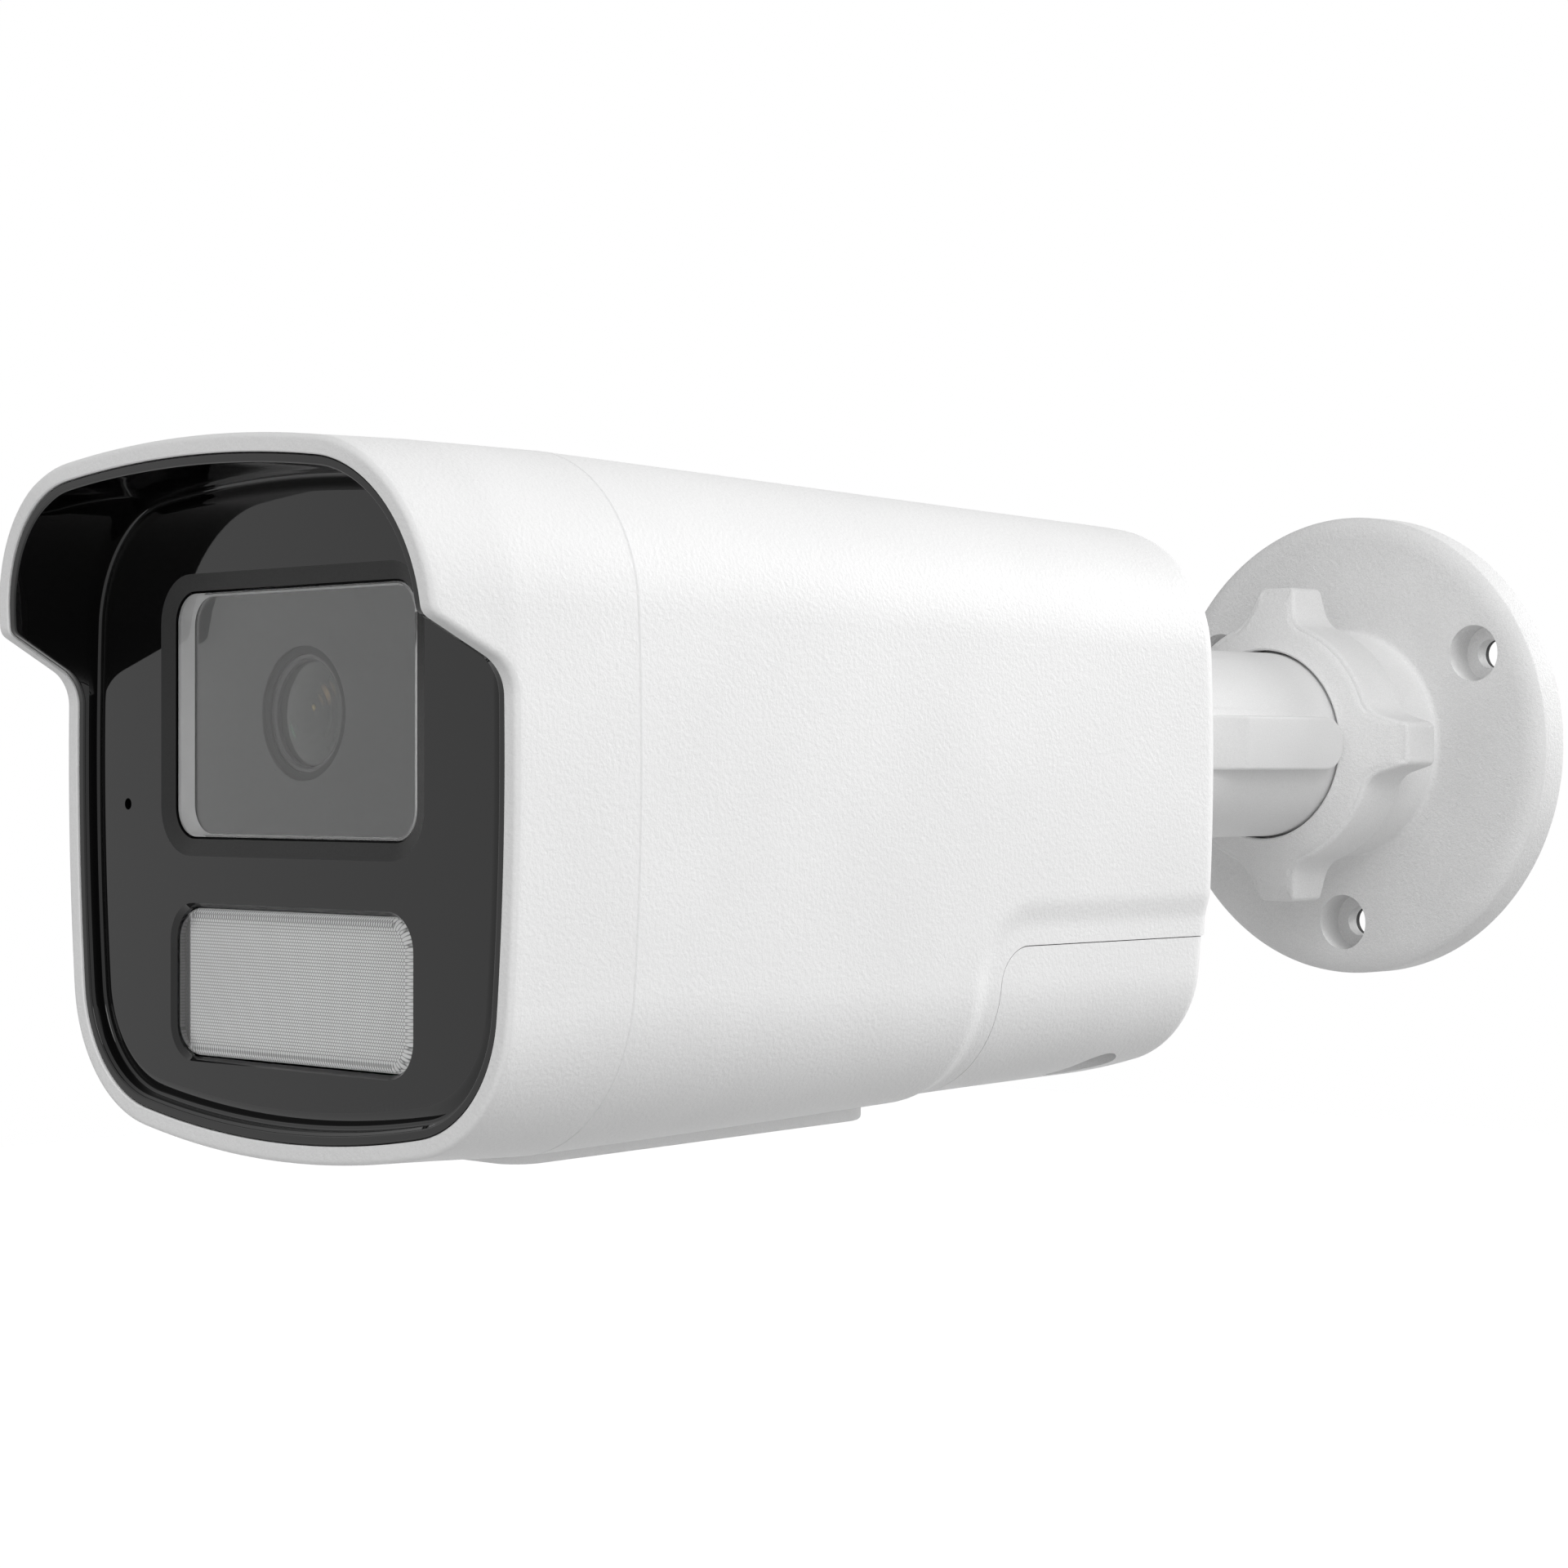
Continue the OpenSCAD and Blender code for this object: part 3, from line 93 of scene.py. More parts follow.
def new_group(name, inputs, outputs):
    """An empty node group with named number inputs, a Vector input and the named outputs."""
    group = bpy.data.node_groups.new(name, "ShaderNodeTree")
    group.interface.new_socket("Vector", in_out="INPUT", socket_type="NodeSocketVector")
    for label, value in inputs.items():
        socket = group.interface.new_socket(label, in_out="INPUT", socket_type="NodeSocketFloat")
        socket.default_value = value
    for label in outputs:
        group.interface.new_socket(label, in_out="OUTPUT", socket_type="NodeSocketFloat")
    return group, group.nodes.new("NodeGroupInput"), group.nodes.new("NodeGroupOutput")


def place_group(tree, group, **values):
    """A node group in a material, fed with object coordinates and its own values."""
    return node(tree, "Group", {"Vector": object_point(tree), **values}, node_tree=group)


def math_node(tree, operation, *values):
    """The result of a Math node."""
    return node(tree, "Math", enumerate(values), operation=operation).outputs[0]


def noise(tree, vector, scale, detail):
    """The value of a Noise texture."""
    return node(tree, "TexNoise", {"Vector": vector, "Scale": scale, "Detail": detail}).outputs["Fac"]


def mix_colours(tree, factor, first, second):
    """A mix of two colours. Each is a plain colour or a socket."""
    first, second = [c if isinstance(c, bpy.types.NodeSocket) else rgba(c) for c in (first, second)]
    return node(tree, "Mix", {"Factor": factor, "A": first, "B": second}, data_type="RGBA").outputs["Result"]


def stretch(tree, value, low, high, to_low=0.0, to_high=1.0):
    """A value stretched from one range to another and clamped."""
    return node(tree, "MapRange", {"Value": value, "From Min": low, "From Max": high,
                                   "To Min": to_low, "To Max": to_high}).outputs["Result"]


def bump(tree, shader, height, strength, distance):
    """A Bump node on the shader's normal."""
    made = node(tree, "Bump", {"Height": height, "Strength": strength, "Distance": distance})
    feed(tree, shader, {"Normal": made.outputs["Normal"]})


# Grain of a moulded or sprayed surface: small bumps, a finer speckle and a slow drift of tone.
grain, grain_in, grain_out = new_group(
    "Moulded grain", {"Cell": 0.0007, "Speckle": 0.35}, ["Height", "Speckle", "Drift"])
cells_per_metre = math_node(grain, "DIVIDE", 1.0, grain_in.outputs["Cell"])
bumps, fine, drift = [
    noise(grain, grain_in.outputs["Vector"], math_node(grain, "MULTIPLY", cells_per_metre, finer), detail)
    for finer, detail in ((1.0, 1.5), (3.1, 2.0), (0.03, 2.0))]
specks = math_node(grain, "MULTIPLY", fine, grain_in.outputs["Speckle"])
feed(grain, grain_out, {"Height": math_node(grain, "ADD", bumps, specks), "Speckle": fine, "Drift": drift})


def grained(name, colour, shade, roughness, cell, depth, speckle=0.35, spread=0.06, gloss=0.5):
    """A material with moulded grain: colour drifts to shade, and its roughness varies by spread."""
    made, tree, shader = material(name, colour, roughness)
    group = place_group(tree, grain, Cell=cell, Speckle=speckle)
    tone = math_node(tree, "MULTIPLY_ADD", group.outputs["Speckle"], 0.7,
                     math_node(tree, "MULTIPLY", group.outputs["Drift"], 0.5))
    feed(tree, shader, {
        "Specular IOR Level": gloss,
        "Base Color": mix_colours(tree, stretch(tree, tone, 0.42, 0.78), colour, shade),
        "Roughness": stretch(
            tree, group.outputs["Speckle"], 0.3, 0.7, roughness - spread, roughness + spread)})
    bump(tree, shader, group.outputs["Height"], 1.0, depth)
    return made


def dress(finish, *names):
    """Gives CAD nodes a finish."""
    for name in names:
        for slot in nodes[name].material_slots:
            slot.material = finish


dress(grained("Black foam rubber", (0.03, 0.03, 0.032), (0.016, 0.016, 0.017), 0.8, 0.0005, 6e-5, 1.0),
      "wall_gasket")


# ---- Base plate ----
# Die-cast aluminium disc with a short neck, powder coated white. It is screwed to the wall through
# three counterbored holes, and the locking ring threads onto its neck.

powder_white = grained("White powder coat", 0.9, 0.78, 0.55, 0.0005, 8e-5, 0.8, gloss=0.25)


def clear_selection():
    """Leaves edit mode and deselects everything."""
    if bpy.context.object and bpy.context.object.mode != "OBJECT":
        bpy.ops.object.mode_set(mode="OBJECT")
    bpy.ops.object.select_all(action="DESELECT")


def pick(piece):
    """Selects one piece alone."""
    clear_selection()
    bpy.context.view_layer.objects.active = piece
    piece.select_set(True)


def added(name, operator, **settings):
    """A new object, added alone by one of Blender's operators."""
    clear_selection()
    operator(**settings)
    bpy.context.object.name = name
    return bpy.context.object


def edit_all(piece):
    """Opens a piece in edit mode with everything selected."""
    pick(piece)
    bpy.ops.object.mode_set(mode="EDIT")
    bpy.ops.mesh.select_all(action="SELECT")


def smooth(piece, angle=35.0):
    """Smooth shading, with edges sharper than angle left crisp."""
    pick(piece)
    bpy.ops.object.shade_smooth_by_angle(angle=math.radians(angle))


def wrapped(name, rows, angle=35.0):
    """A closed skin: a grid whose rows are wrapped round as loops, from inside to outside.
    The first and last rows are joined where they lie in the same place, or close to a pole."""
    around, last = len(rows[0]), len(rows) - 1
    piece = added(name, bpy.ops.mesh.primitive_grid_add, x_subdivisions=around, y_subdivisions=last, size=1)
    piece.data.name = name
    for vertex in piece.data.vertices:
        column = round((vertex.co.x + 0.5) * around)
        row = round((vertex.co.y + 0.5) * last)
        vertex.co = rows[row][column % around]
    edit_all(piece)
    bpy.ops.mesh.remove_doubles(threshold=2e-6)
    bpy.ops.mesh.dissolve_degenerate(threshold=1e-6)
    bpy.ops.mesh.normals_make_consistent(inside=False)
    smooth(piece, angle)
    return piece


def hoop(radius, y, z, steps):
    """A circle about a line along y at height z, as a loop."""
    angles = [2 * math.pi * i / steps for i in range(steps)]
    return [(radius * math.cos(a), y, z + radius * math.sin(a)) for a in angles]


def turned(name, profile, steps):
    """A piece turned about the bracket's axis. Each profile point is (radius, distance from the wall)."""
    return wrapped(name, [hoop(r, -d, 0, steps) for r, d in profile + profile[:1]])


def rod(name, radius, start, end, steps=64):
    """A round bar between two points on a line along X, Y or Z, for cutting with."""
    run = [abs(b - a) for a, b in zip(start, end)]
    piece = added(name, bpy.ops.mesh.primitive_cylinder_add, vertices=steps, radius=radius, depth=max(run))
    for vertex in piece.data.vertices:
        x, y, z = vertex.co
        turned_to = [(z, x, y), (y, z, x), (x, y, z)][run.index(max(run))]
        vertex.co = [(a + b) / 2 + t for a, b, t in zip(start, end, turned_to)]
    return piece


def modify(piece, kind, **settings):
    """Adds a modifier to a piece and applies it."""
    pick(piece)
    modifier = piece.modifiers.new(kind.title(), kind)
    for label, value in settings.items():
        setattr(modifier, label, value)
    bpy.ops.object.modifier_apply(modifier=modifier.name)


def combine(piece, tool, operation="DIFFERENCE"):
    """Cuts, joins or trims a piece with a tool, which is used up."""
    modify(piece, "BOOLEAN", operation=operation, solver="EXACT", object=tool)
    bpy.data.objects.remove(tool)


def finished(piece, finish, body, slot, *replaced):
    """Gives a piece its material and its body, and hides the CAD nodes that it stands for. Its slot is not
    used.
    """
    piece.data.materials.clear()
    piece.data.materials.append(finish)
    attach(piece, body)
    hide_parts(*replaced)


def arc(cx, cy, radius, start, stop, steps):
    """Points of an arc, from start to stop in degrees."""
    angles = [math.radians(start + (stop - start) * i / steps) for i in range(steps + 1)]
    return [(cx + radius * math.cos(a), cy + radius * math.sin(a)) for a in angles]


def swept(*span):
    """Sine and cosine at each angle of a range in degrees."""
    return [(math.sin(math.radians(a)), math.cos(math.radians(a))) for a in range(*span)]


base_low, base_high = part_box("base_plate")
BASE_R = base_high.x
WALL_D = -base_high.y
FACE_D = WALL_D + 0.0064
SIDE_CHAMFER = 0.0004
ROUND_R, ROUND_D = 0.0034, 0.0017
NECK_R, NECK_STEP = 0.0163, 0.0165
NECK_END = -base_low.y
THREAD_R = 0.01475
FILLET = 0.0009
BORE_R, BORE_FLOOR = 0.00906, 0.0109
base_profile = (
    [(0, WALL_D), (BASE_R - SIDE_CHAMFER, WALL_D), (BASE_R, WALL_D + SIDE_CHAMFER)]
    + [(BASE_R - ROUND_R + ROUND_R * c, FACE_D - ROUND_D + ROUND_D * s) for s, c in swept(0, 91, 9)]
    + arc(NECK_R + FILLET, FACE_D + FILLET, FILLET, 270, 180, 8)
    + [(NECK_R, NECK_STEP), (THREAD_R, NECK_STEP), (THREAD_R, NECK_END - SIDE_CHAMFER),
       (THREAD_R - SIDE_CHAMFER, NECK_END), (BORE_R, NECK_END), (BORE_R, BORE_FLOOR), (0, BORE_FLOOR)])
base = turned("base_casting", base_profile, 192)
SCREW_CIRCLE = 0.026
WALL_HOLE_R = 0.0021
COUNTERBORE_R, COUNTERBORE_DEPTH = 0.004, 0.0044
for i in range(3):
    a = math.radians(150 + 120 * i)
    x, z = SCREW_CIRCLE * math.cos(a), SCREW_CIRCLE * math.sin(a)
    ahead = (x, -FACE_D - 0.001, z)
    combine(base, rod("hole", WALL_HOLE_R, (x, 0.001, z), ahead, 48))
    combine(base, rod("counterbore", COUNTERBORE_R, (x, -FACE_D + COUNTERBORE_DEPTH, z), ahead))
smooth(base)
finished(base, powder_white, "wall_base", "bracket_white", "base_plate")


# ---- Locking ring ----
# Cast ring with four grip lugs. It threads onto the base plate's neck, and its lip clamps the
# knuckle arm's flange. Its front face slopes back from the mouth, and all its edges are soft.

def slope(degrees):
    """Rise per length of a face that leans by so many degrees."""
    return math.tan(math.radians(degrees))


ring_low, ring_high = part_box("locking_ring")
RING_BACK, RING_FRONT = -ring_high.y, -ring_low.y
RING_R = 0.0177
RING_BORE_R = 0.01481
MOUTH_R = 0.01345
LIP = 0.003
FRONT_LEAN = 22
LUG_REACH = ring_high.x
LUG_HALF = 0.0029
LUG_FLARE = math.radians(17)
ROOT_R, TIP_R = 0.004, 0.001
EDGE, MOUTH_EDGE = 0.0007, 0.0003


def lug_outline():
    """Outline of the ring with four lugs: each point with its outward normal."""
    def curve(centre, radius, start, end, steps, side=1):
        """Points of an arc. Their normals point away from its centre, or towards it where side is -1."""
        angles = [start + (end - start) * i / steps for i in range(steps + 1)]
        return [(centre[0] + radius * math.cos(a), centre[1] + radius * math.sin(a),
                 side * math.cos(a), side * math.sin(a)) for a in angles]

    nx, nz = math.sin(LUG_FLARE), math.cos(LUG_FLARE)
    flank = nx * LUG_REACH + nz * LUG_HALF
    along = math.sqrt((RING_R + ROOT_R) ** 2 - (flank + ROOT_R) ** 2)
    root = (nx * (flank + ROOT_R) + nz * along, nz * (flank + ROOT_R) - nx * along)
    tip = (LUG_REACH - TIP_R, (flank - TIP_R - nx * (LUG_REACH - TIP_R)) / nz)
    root_angle = math.atan2(root[1], root[0])
    flank_angle = math.pi / 2 - LUG_FLARE
    half = [(LUG_REACH, tip[1] * t / 3, 1.0, 0.0) for t in range(3)] + curve(tip, TIP_R, 0, flank_angle, 8)
    x0, z0 = half[-1][:2]
    x1, z1 = root[0] - ROOT_R * nx, root[1] - ROOT_R * nz
    half += [(x0 + (x1 - x0) * t / 4, z0 + (z1 - z0) * t / 4, nx, nz) for t in range(1, 4)]
    half += curve(root, ROOT_R, flank_angle + math.pi, root_angle + math.pi, 12, -1)
    half += curve((0, 0), RING_R, root_angle, math.pi / 4, 10)[1:]
    points = []
    for c, s in [(1, 0), (0, 1), (-1, 0), (0, -1)]:
        points += [(c * x + s * z, s * x - c * z, c * u + s * v, s * u - c * v)
                   for x, z, u, v in reversed(half[1:])]
        points += [(c * x - s * z, s * x + c * z, c * u - s * v, s * u + c * v) for x, z, u, v in half[:-1]]
    return points


def cone(radius):
    """Distance from the wall of the ring's sloping front at a radius."""
    return RING_FRONT - (radius - MOUTH_R) * slope(FRONT_LEAN)


outline = lug_outline()
directions = [(x / math.hypot(x, z), z / math.hypot(x, z)) for x, z, _, _ in outline]


def circle_row(radius, distance):
    """A round row of the locking ring."""
    return [(radius * u, -distance, radius * v) for u, v in directions]


def outline_row(inset, distance_of):
    """A row along the ring's outline, moved inwards."""
    return [(x - inset * u, -distance_of(math.hypot(x, z)), z - inset * v) for x, z, u, v in outline]


ring_rows = [circle_row(MOUTH_R, RING_FRONT - LIP), circle_row(MOUTH_R, RING_FRONT - MOUTH_EDGE)]
ring_rows += [circle_row(MOUTH_R + MOUTH_EDGE * (1 - c), cone(MOUTH_R) - MOUTH_EDGE * (1 - s))
              for s, c in swept(30, 91, 30)]
front_inner = circle_row(MOUTH_R + MOUTH_EDGE, 0)
front_outer = outline_row(EDGE, cone)
for t in (0.15, 0.3, 0.45, 0.6, 0.75, 0.9):
    row = [(x0 + (x1 - x0) * t, z0 + (z1 - z0) * t)
           for (x0, _, z0), (x1, _, z1) in zip(front_inner, front_outer)]
    ring_rows.append([(x, -cone(math.hypot(x, z)), z) for x, z in row])
ring_rows += [outline_row(EDGE * (1 - s), lambda r, c=c: cone(r) - EDGE * (1 - c))
              for s, c in swept(0, 91, 15)]
ring_rows.append(outline_row(0, lambda r: RING_BACK + EDGE))
ring_rows += [outline_row(EDGE * (1 - c), lambda r, s=s: RING_BACK + EDGE * (1 - s))
              for s, c in swept(30, 91, 30)]
ring_rows += [circle_row(RING_BORE_R, RING_BACK), circle_row(RING_BORE_R, RING_FRONT - LIP), ring_rows[0]]
locking_ring = wrapped("lug_ring", ring_rows, 40)
finished(locking_ring, powder_white, "locking_ring", "bracket_white", "locking_ring")


# ---- Knuckle arm ----
# Cast arm whose flange turns in the base plate's neck. Two grip ribs run along its sides, and its
# forked end takes the tilt arm's tongue between friction washers on a bolt.

arm_low, arm_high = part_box("knuckle_arm")
SPIGOT_R, SPIGOT_START = 0.009, 0.0111
FLANGE_R, FLANGE_BACK, FLANGE_FRONT = 0.01445, 0.0217, 0.0241
ARM_R = 0.0131
RIB_H = arm_high.x - ARM_R
RIB_W = 0.0074
RIB_START = RING_FRONT + 0.0006
RIB_TURN = RIB_START + 0.022
EAR_X = 0.0122
TILT_D = 0.0709
FORK_R = -arm_low.y - TILT_D
FORK_GAP = 0.0096
FORK_FLOOR = -TILT_D + 0.0125
SEAT_R, SEAT_DEPTH = 0.0046, 0.003
BOLT_HOLE_R = 0.00256
BESIDE, BEYOND = 0.03, -0.1


def block(name, low, high):
    """A plain box between two corners, for cutting with."""
    piece = added(name, bpy.ops.mesh.primitive_cube_add, size=1)
    for vertex in piece.data.vertices:
        vertex.co = [lo + (c + 0.5) * (hi - lo) for c, lo, hi in zip(vertex.co, low, high)]
    return piece


def prism(name, outline, low, high):
    """A bar across the camera: an outline of (y, z) points, drawn out from x = low to x = high."""
    piece = added(name, bpy.ops.mesh.primitive_circle_add, vertices=len(outline), fill_type="NGON")
    for vertex, (y, z) in zip(piece.data.vertices, outline):
        vertex.co = (low, y, z)
    edit_all(piece)
    bpy.ops.mesh.extrude_region_move(TRANSFORM_OT_translate={"value": (high - low, 0, 0)})
    bpy.ops.mesh.select_all(action="SELECT")
    bpy.ops.mesh.normals_make_consistent(inside=False)
    bpy.ops.object.mode_set(mode="OBJECT")
    return piece


arm = turned("arm_casting", [
    (0, SPIGOT_START), (SPIGOT_R - 0.0003, SPIGOT_START), (SPIGOT_R, SPIGOT_START + 0.0003),
    (SPIGOT_R, FLANGE_BACK), (FLANGE_R, FLANGE_BACK), (FLANGE_R, FLANGE_FRONT), (ARM_R, FLANGE_FRONT),
    (ARM_R, TILT_D + FORK_R), (0, TILT_D + FORK_R)], 96)
fork_end = rod("fork end", FORK_R, (-0.02, -TILT_D, 0), (0.02, -TILT_D, 0))
combine(fork_end, block("arm back", (-0.02, -TILT_D, -0.02), (0.02, 0, 0.02)), "UNION")
combine(arm, fork_end, "INTERSECT")
for side in (1, -1):
    half = RIB_W / 2
    end = [(-(RIB_START + half) + y, z) for y, z in arc(0, 0, half, 90, -90, 12)]
    x0, x1 = sorted((side * 0.005, side * (ARM_R + RIB_H)))
    rib = prism("rib", end + [(FORK_FLOOR, -half), (FORK_FLOOR, half)], x0, x1)
    edit_all(rib)
    bpy.ops.mesh.bisect(plane_co=(0, -RIB_TURN, 0), plane_no=(0, 1, 0))
    bpy.ops.object.mode_set(mode="OBJECT")
    for vertex in rib.data.vertices:
        fade = (-vertex.co.y - RIB_TURN) / (-FORK_FLOOR - RIB_TURN)
        if abs(vertex.co.x) > ARM_R and fade > 0:
            vertex.co.x -= side * fade * (ARM_R + RIB_H - EAR_X)
    modify(rib, "BEVEL", width=0.0009, segments=5, limit_method="ANGLE", angle_limit=math.radians(10))
    combine(arm, rib, "UNION")
combine(arm, block("fork", (-FORK_GAP / 2, BEYOND, -BESIDE), (FORK_GAP / 2, FORK_FLOOR, BESIDE)))
for side in (1, -1):
    x0, x1 = sorted((side * EAR_X, side * BESIDE))
    combine(arm, block("ear", (x0, BEYOND, -BESIDE), (x1, FORK_FLOOR, BESIDE)))
    seat_floor = (side * (EAR_X - SEAT_DEPTH), -TILT_D, 0)
    combine(arm, rod("seat", SEAT_R, seat_floor, (side * BESIDE, -TILT_D, 0), 48))
combine(arm, rod("bolt hole", BOLT_HOLE_R, (-BESIDE, -TILT_D, 0), (BESIDE, -TILT_D, 0), 48))
smooth(arm)
# The arms take a darker copy of the bracket's white powder coat. It is painted shade for where the body and
# the base plate keep the light off them.
shaded_arm_white = grained("White coat with painted shade on the arms", 0.82, 0.75, 0.5, 0.00055, 4e-5, 0.5, gloss=0.25)
finished(arm, shaded_arm_white, "pan_knuckle", "bracket_white", "knuckle_arm")


# ---- Tilt joint and swivel ----
# The tilt arm is a cast tongue and flange that turns behind the body's rear wall. A steel bolt, nut
# and fibre washers pinch its tongue in the fork, and a screw and washer hold its spigot.

# Fine parallel lines of brushed, turned or rolled metal.
lines, lines_in, lines_out = new_group("Drawn lines", {"Width": 0.0002, "Wave": 0.3}, ["Height", "Tone"])
squeeze = node(lines, "Mapping", {"Scale": (1, 0.06, 1), "Vector": lines_in.outputs["Vector"]})
line_scale = math_node(lines, "DIVIDE", 1.0, lines_in.outputs["Width"])
streaks = noise(lines, squeeze.outputs["Vector"], line_scale, 4.0)
stains = noise(lines, lines_in.outputs["Vector"], math_node(lines, "MULTIPLY", line_scale, 0.05), 3.0)
waves = math_node(lines, "MULTIPLY", stains, lines_in.outputs["Wave"])
feed(lines, lines_out, {"Height": streaks, "Tone": math_node(lines, "ADD", streaks, waves)})


def drawn(name, colour, shade, roughness, width, depth, wave=0.3):
    """A metal with fine lines, whose tone and roughness follow them."""
    made, tree, shader = material(name, colour, roughness, metallic=1.0)
    group = place_group(tree, lines, Width=width, Wave=wave)
    tone = stretch(tree, group.outputs["Tone"], 0.45, 0.9)
    feed(tree, shader, {"Base Color": mix_colours(tree, tone, colour, shade),
                        "Roughness": stretch(tree, tone, 0, 1, roughness - 0.06, roughness + 0.08)})
    bump(tree, shader, group.outputs["Height"], 0.6, depth)
    return made


# The tilt arm shares the arms' white coat with its painted shade.
dress(shaded_arm_white, "tilt_arm")
dress(drawn("Zinc-plated steel", (0.62, 0.63, 0.64), (0.5, 0.51, 0.52), 0.28, 0.00018, 8e-6),
      "tilt_bolt", "tilt_nut", "swivel_washer", "swivel_screw", "swivel_plate", "swivel_plate_screws",
      "hatch_screws", "chassis_screws", "board_screws", "sensor_screws")
dress(grained("Vulcanised fibre", (0.16, 0.17, 0.19), (0.1, 0.105, 0.12), 0.7, 0.0004, 2e-5, 0.8),
      "friction_washers")


# ---- Body ----
# Die-cast aluminium barrel, powder coated with a fine leather grain. It narrows to the back, its
# rear wall carries the swivel, and a shallow sloping band leads down to the hatch's joint.

satin_white = grained("White grained coat", 0.87, 0.82, 0.5, 0.0005, 6e-5, 0.4, gloss=0.25)

body_low, body_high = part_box("body_housing")
cover_low, cover_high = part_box("front_cover")
SEAM_Y, BACK_Y = body_low.y, body_high.y
VISOR_L = 0.0116
RIM_Y = cover_low.y + VISOR_L
HALF_W = cover_high.x
WAIST_Z = -0.0022
TOP_Z, BOTTOM_Z = 0.0313, -0.0456
# Radii of the outline's arcs: each at the rim, at the seam and at the back.
TOP_R, TOP_CORNER_R = (0.185, 0.185, 0.125), (0.018, 0.018, 0.0164)
BOTTOM_R, BOTTOM_CORNER_R = (0.142, 0.24, 0.092), (0.0166, 0.0196, 0.0136)
SIDE_R = 0.29
# How the walls lean inwards, in degrees: to the back from the seam, and to the front from the rim.
SIDE_DRAFT, TOP_DRAFT, BOTTOM_DRAFT = 1.2, 1.6, 0.9
VISOR_SIDE_DRAFT, VISOR_TOP_DRAFT = 4.6, 1.4
WALL, REAR_WALL = 0.0022, 0.004
REAR_EDGE, SEAM_EDGE = 0.0032, 0.00016
HATCH_Y = RIM_Y + 0.076
HATCH_Z = -0.0241
HATCH_R = 0.0045
HATCH_INSET = 0.0006
BAND, BAND_SLOPE = 0.0050, 0.0025
STEPS_UP = (46, 22, 12)
STEPS_DOWN = (44, 22, 14)
HALF_LOOP = sum(STEPS_UP) + sum(STEPS_DOWN)
BODY_STEPS = 160


def along_barrel(y, rim, seam, back):
    """Radius of an outline arc at y, between its values at the rim, at the seam and at the back."""
    if y <= SEAM_Y:
        t = max(0.0, (y - RIM_Y) / (SEAM_Y - RIM_Y))
        return 1 / (1 / rim + (1 / seam - 1 / rim) * t)
    t = (y - SEAM_Y) / (BACK_Y - SEAM_Y)
    return 1 / (1 / seam + (1 / back - 1 / seam) * t)


def quarter_point(u, steps, half_w, rise, top_r, corner_r, side_r):
    """Point u of a quarter outline: side arc, corner arc and top arc, tangent to each other."""
    sx, tz = half_w - side_r, rise - top_r
    gap = math.hypot(sx, tz)
    p, q = side_r - corner_r, top_r - corner_r
    x = (p * p - q * q + gap * gap) / (2 * gap)
    h = math.sqrt(p * p - x * x)
    ex, ez = -sx / gap, tz / gap
    cx, cz = sx + ex * x - ez * h, ez * x + ex * h
    side_end, top_start = math.atan2(cz, cx - sx), math.atan2(cz - tz, cx)
    side, corner, top = steps
    if u <= side:
        a = side_end * u / side
        return sx + side_r * math.cos(a), side_r * math.sin(a)
    if u <= side + corner:
        a = side_end + (top_start - side_end) * (u - side) / corner
        return cx + corner_r * math.cos(a), cz + corner_r * math.sin(a)
    a = top_start + (math.pi / 2 - top_start) * (u - side - corner) / top
    return top_r * math.cos(a), tz + top_r * math.sin(a)


def shell_point(u, y, inset=0.0):
    """(x, z) on the camera's outline at y, moved inwards by inset. u runs down the +X half, from the
    top's middle at 0 to the bottom's middle at HALF_LOOP."""
    back, fore = max(y - SEAM_Y, 0), max(RIM_Y - y, 0)
    half_w = HALF_W - inset - back * slope(SIDE_DRAFT) - fore * slope(VISOR_SIDE_DRAFT)
    up = sum(STEPS_UP)
    if u <= up:
        rise = TOP_Z - WAIST_Z - inset - back * slope(TOP_DRAFT) - fore * slope(VISOR_TOP_DRAFT)
        steps, u, radii, direction = STEPS_UP, up - u, (TOP_R, TOP_CORNER_R), 1
    else:
        rise = WAIST_Z - BOTTOM_Z - inset - back * slope(BOTTOM_DRAFT)
        steps, u, radii, direction = STEPS_DOWN, u - up, (BOTTOM_R, BOTTOM_CORNER_R), -1
    main_r, corner_r = [along_barrel(y, *radius) - inset for radius in radii]
    x, z = quarter_point(u, steps, half_w, rise, main_r, corner_r, SIDE_R - inset)
    return x, WAIST_Z + direction * z


def loop_of(point_at):
    """A whole loop from a function of u that gives a point (x, y, z) of the +X half."""
    right = [point_at(u) for u in range(HALF_LOOP + 1)]
    return right + [(-x, y, z) for x, y, z in reversed(right[1:-1])]


def placed(point, y):
    """A point (x, z) of a cross-section, placed at y."""
    return point[0], y, point[1]


def shell_loop(y, inset=0.0):
    """The camera's outline at y as a loop."""
    return loop_of(lambda u: placed(shell_point(u, y, inset), y))


def band_depth(y, z):
    """How far the skin lies under the plain barrel near the hatch's joint."""
    a, b = HATCH_R - (y - HATCH_Y), HATCH_R - (HATCH_Z - z)
    distance = math.hypot(max(a, 0), max(b, 0)) + min(max(a, b), 0) - HATCH_R
    t, soft = (BAND - distance) / BAND_SLOPE, 0.2
    if t <= -soft:
        return 0.0
    if t < soft:
        return HATCH_INSET * (t + soft) ** 2 / (4 * soft)
    if t < 1 - soft:
        return HATCH_INSET * t
    return HATCH_INSET * (1 - max(1 + soft - t, 0) ** 2 / (4 * soft))


def banded_loop(y, inset=0.0):
    """The barrel's outline at y, moved inwards by inset, and sunk where the band round the hatch runs."""
    return loop_of(lambda u: placed(shell_point(u, y, inset + band_depth(y, shell_point(u, y)[1])), y))


def capped(name, rows, angle, z=0.0):
    """A closed skin whose flat first and last rows are filled in from their middles, at height z."""
    first, last = [[(0, row[0][1], z)] * len(row) for row in (rows[0], rows[-1])]
    return wrapped(name, [first] + rows + [last], angle)


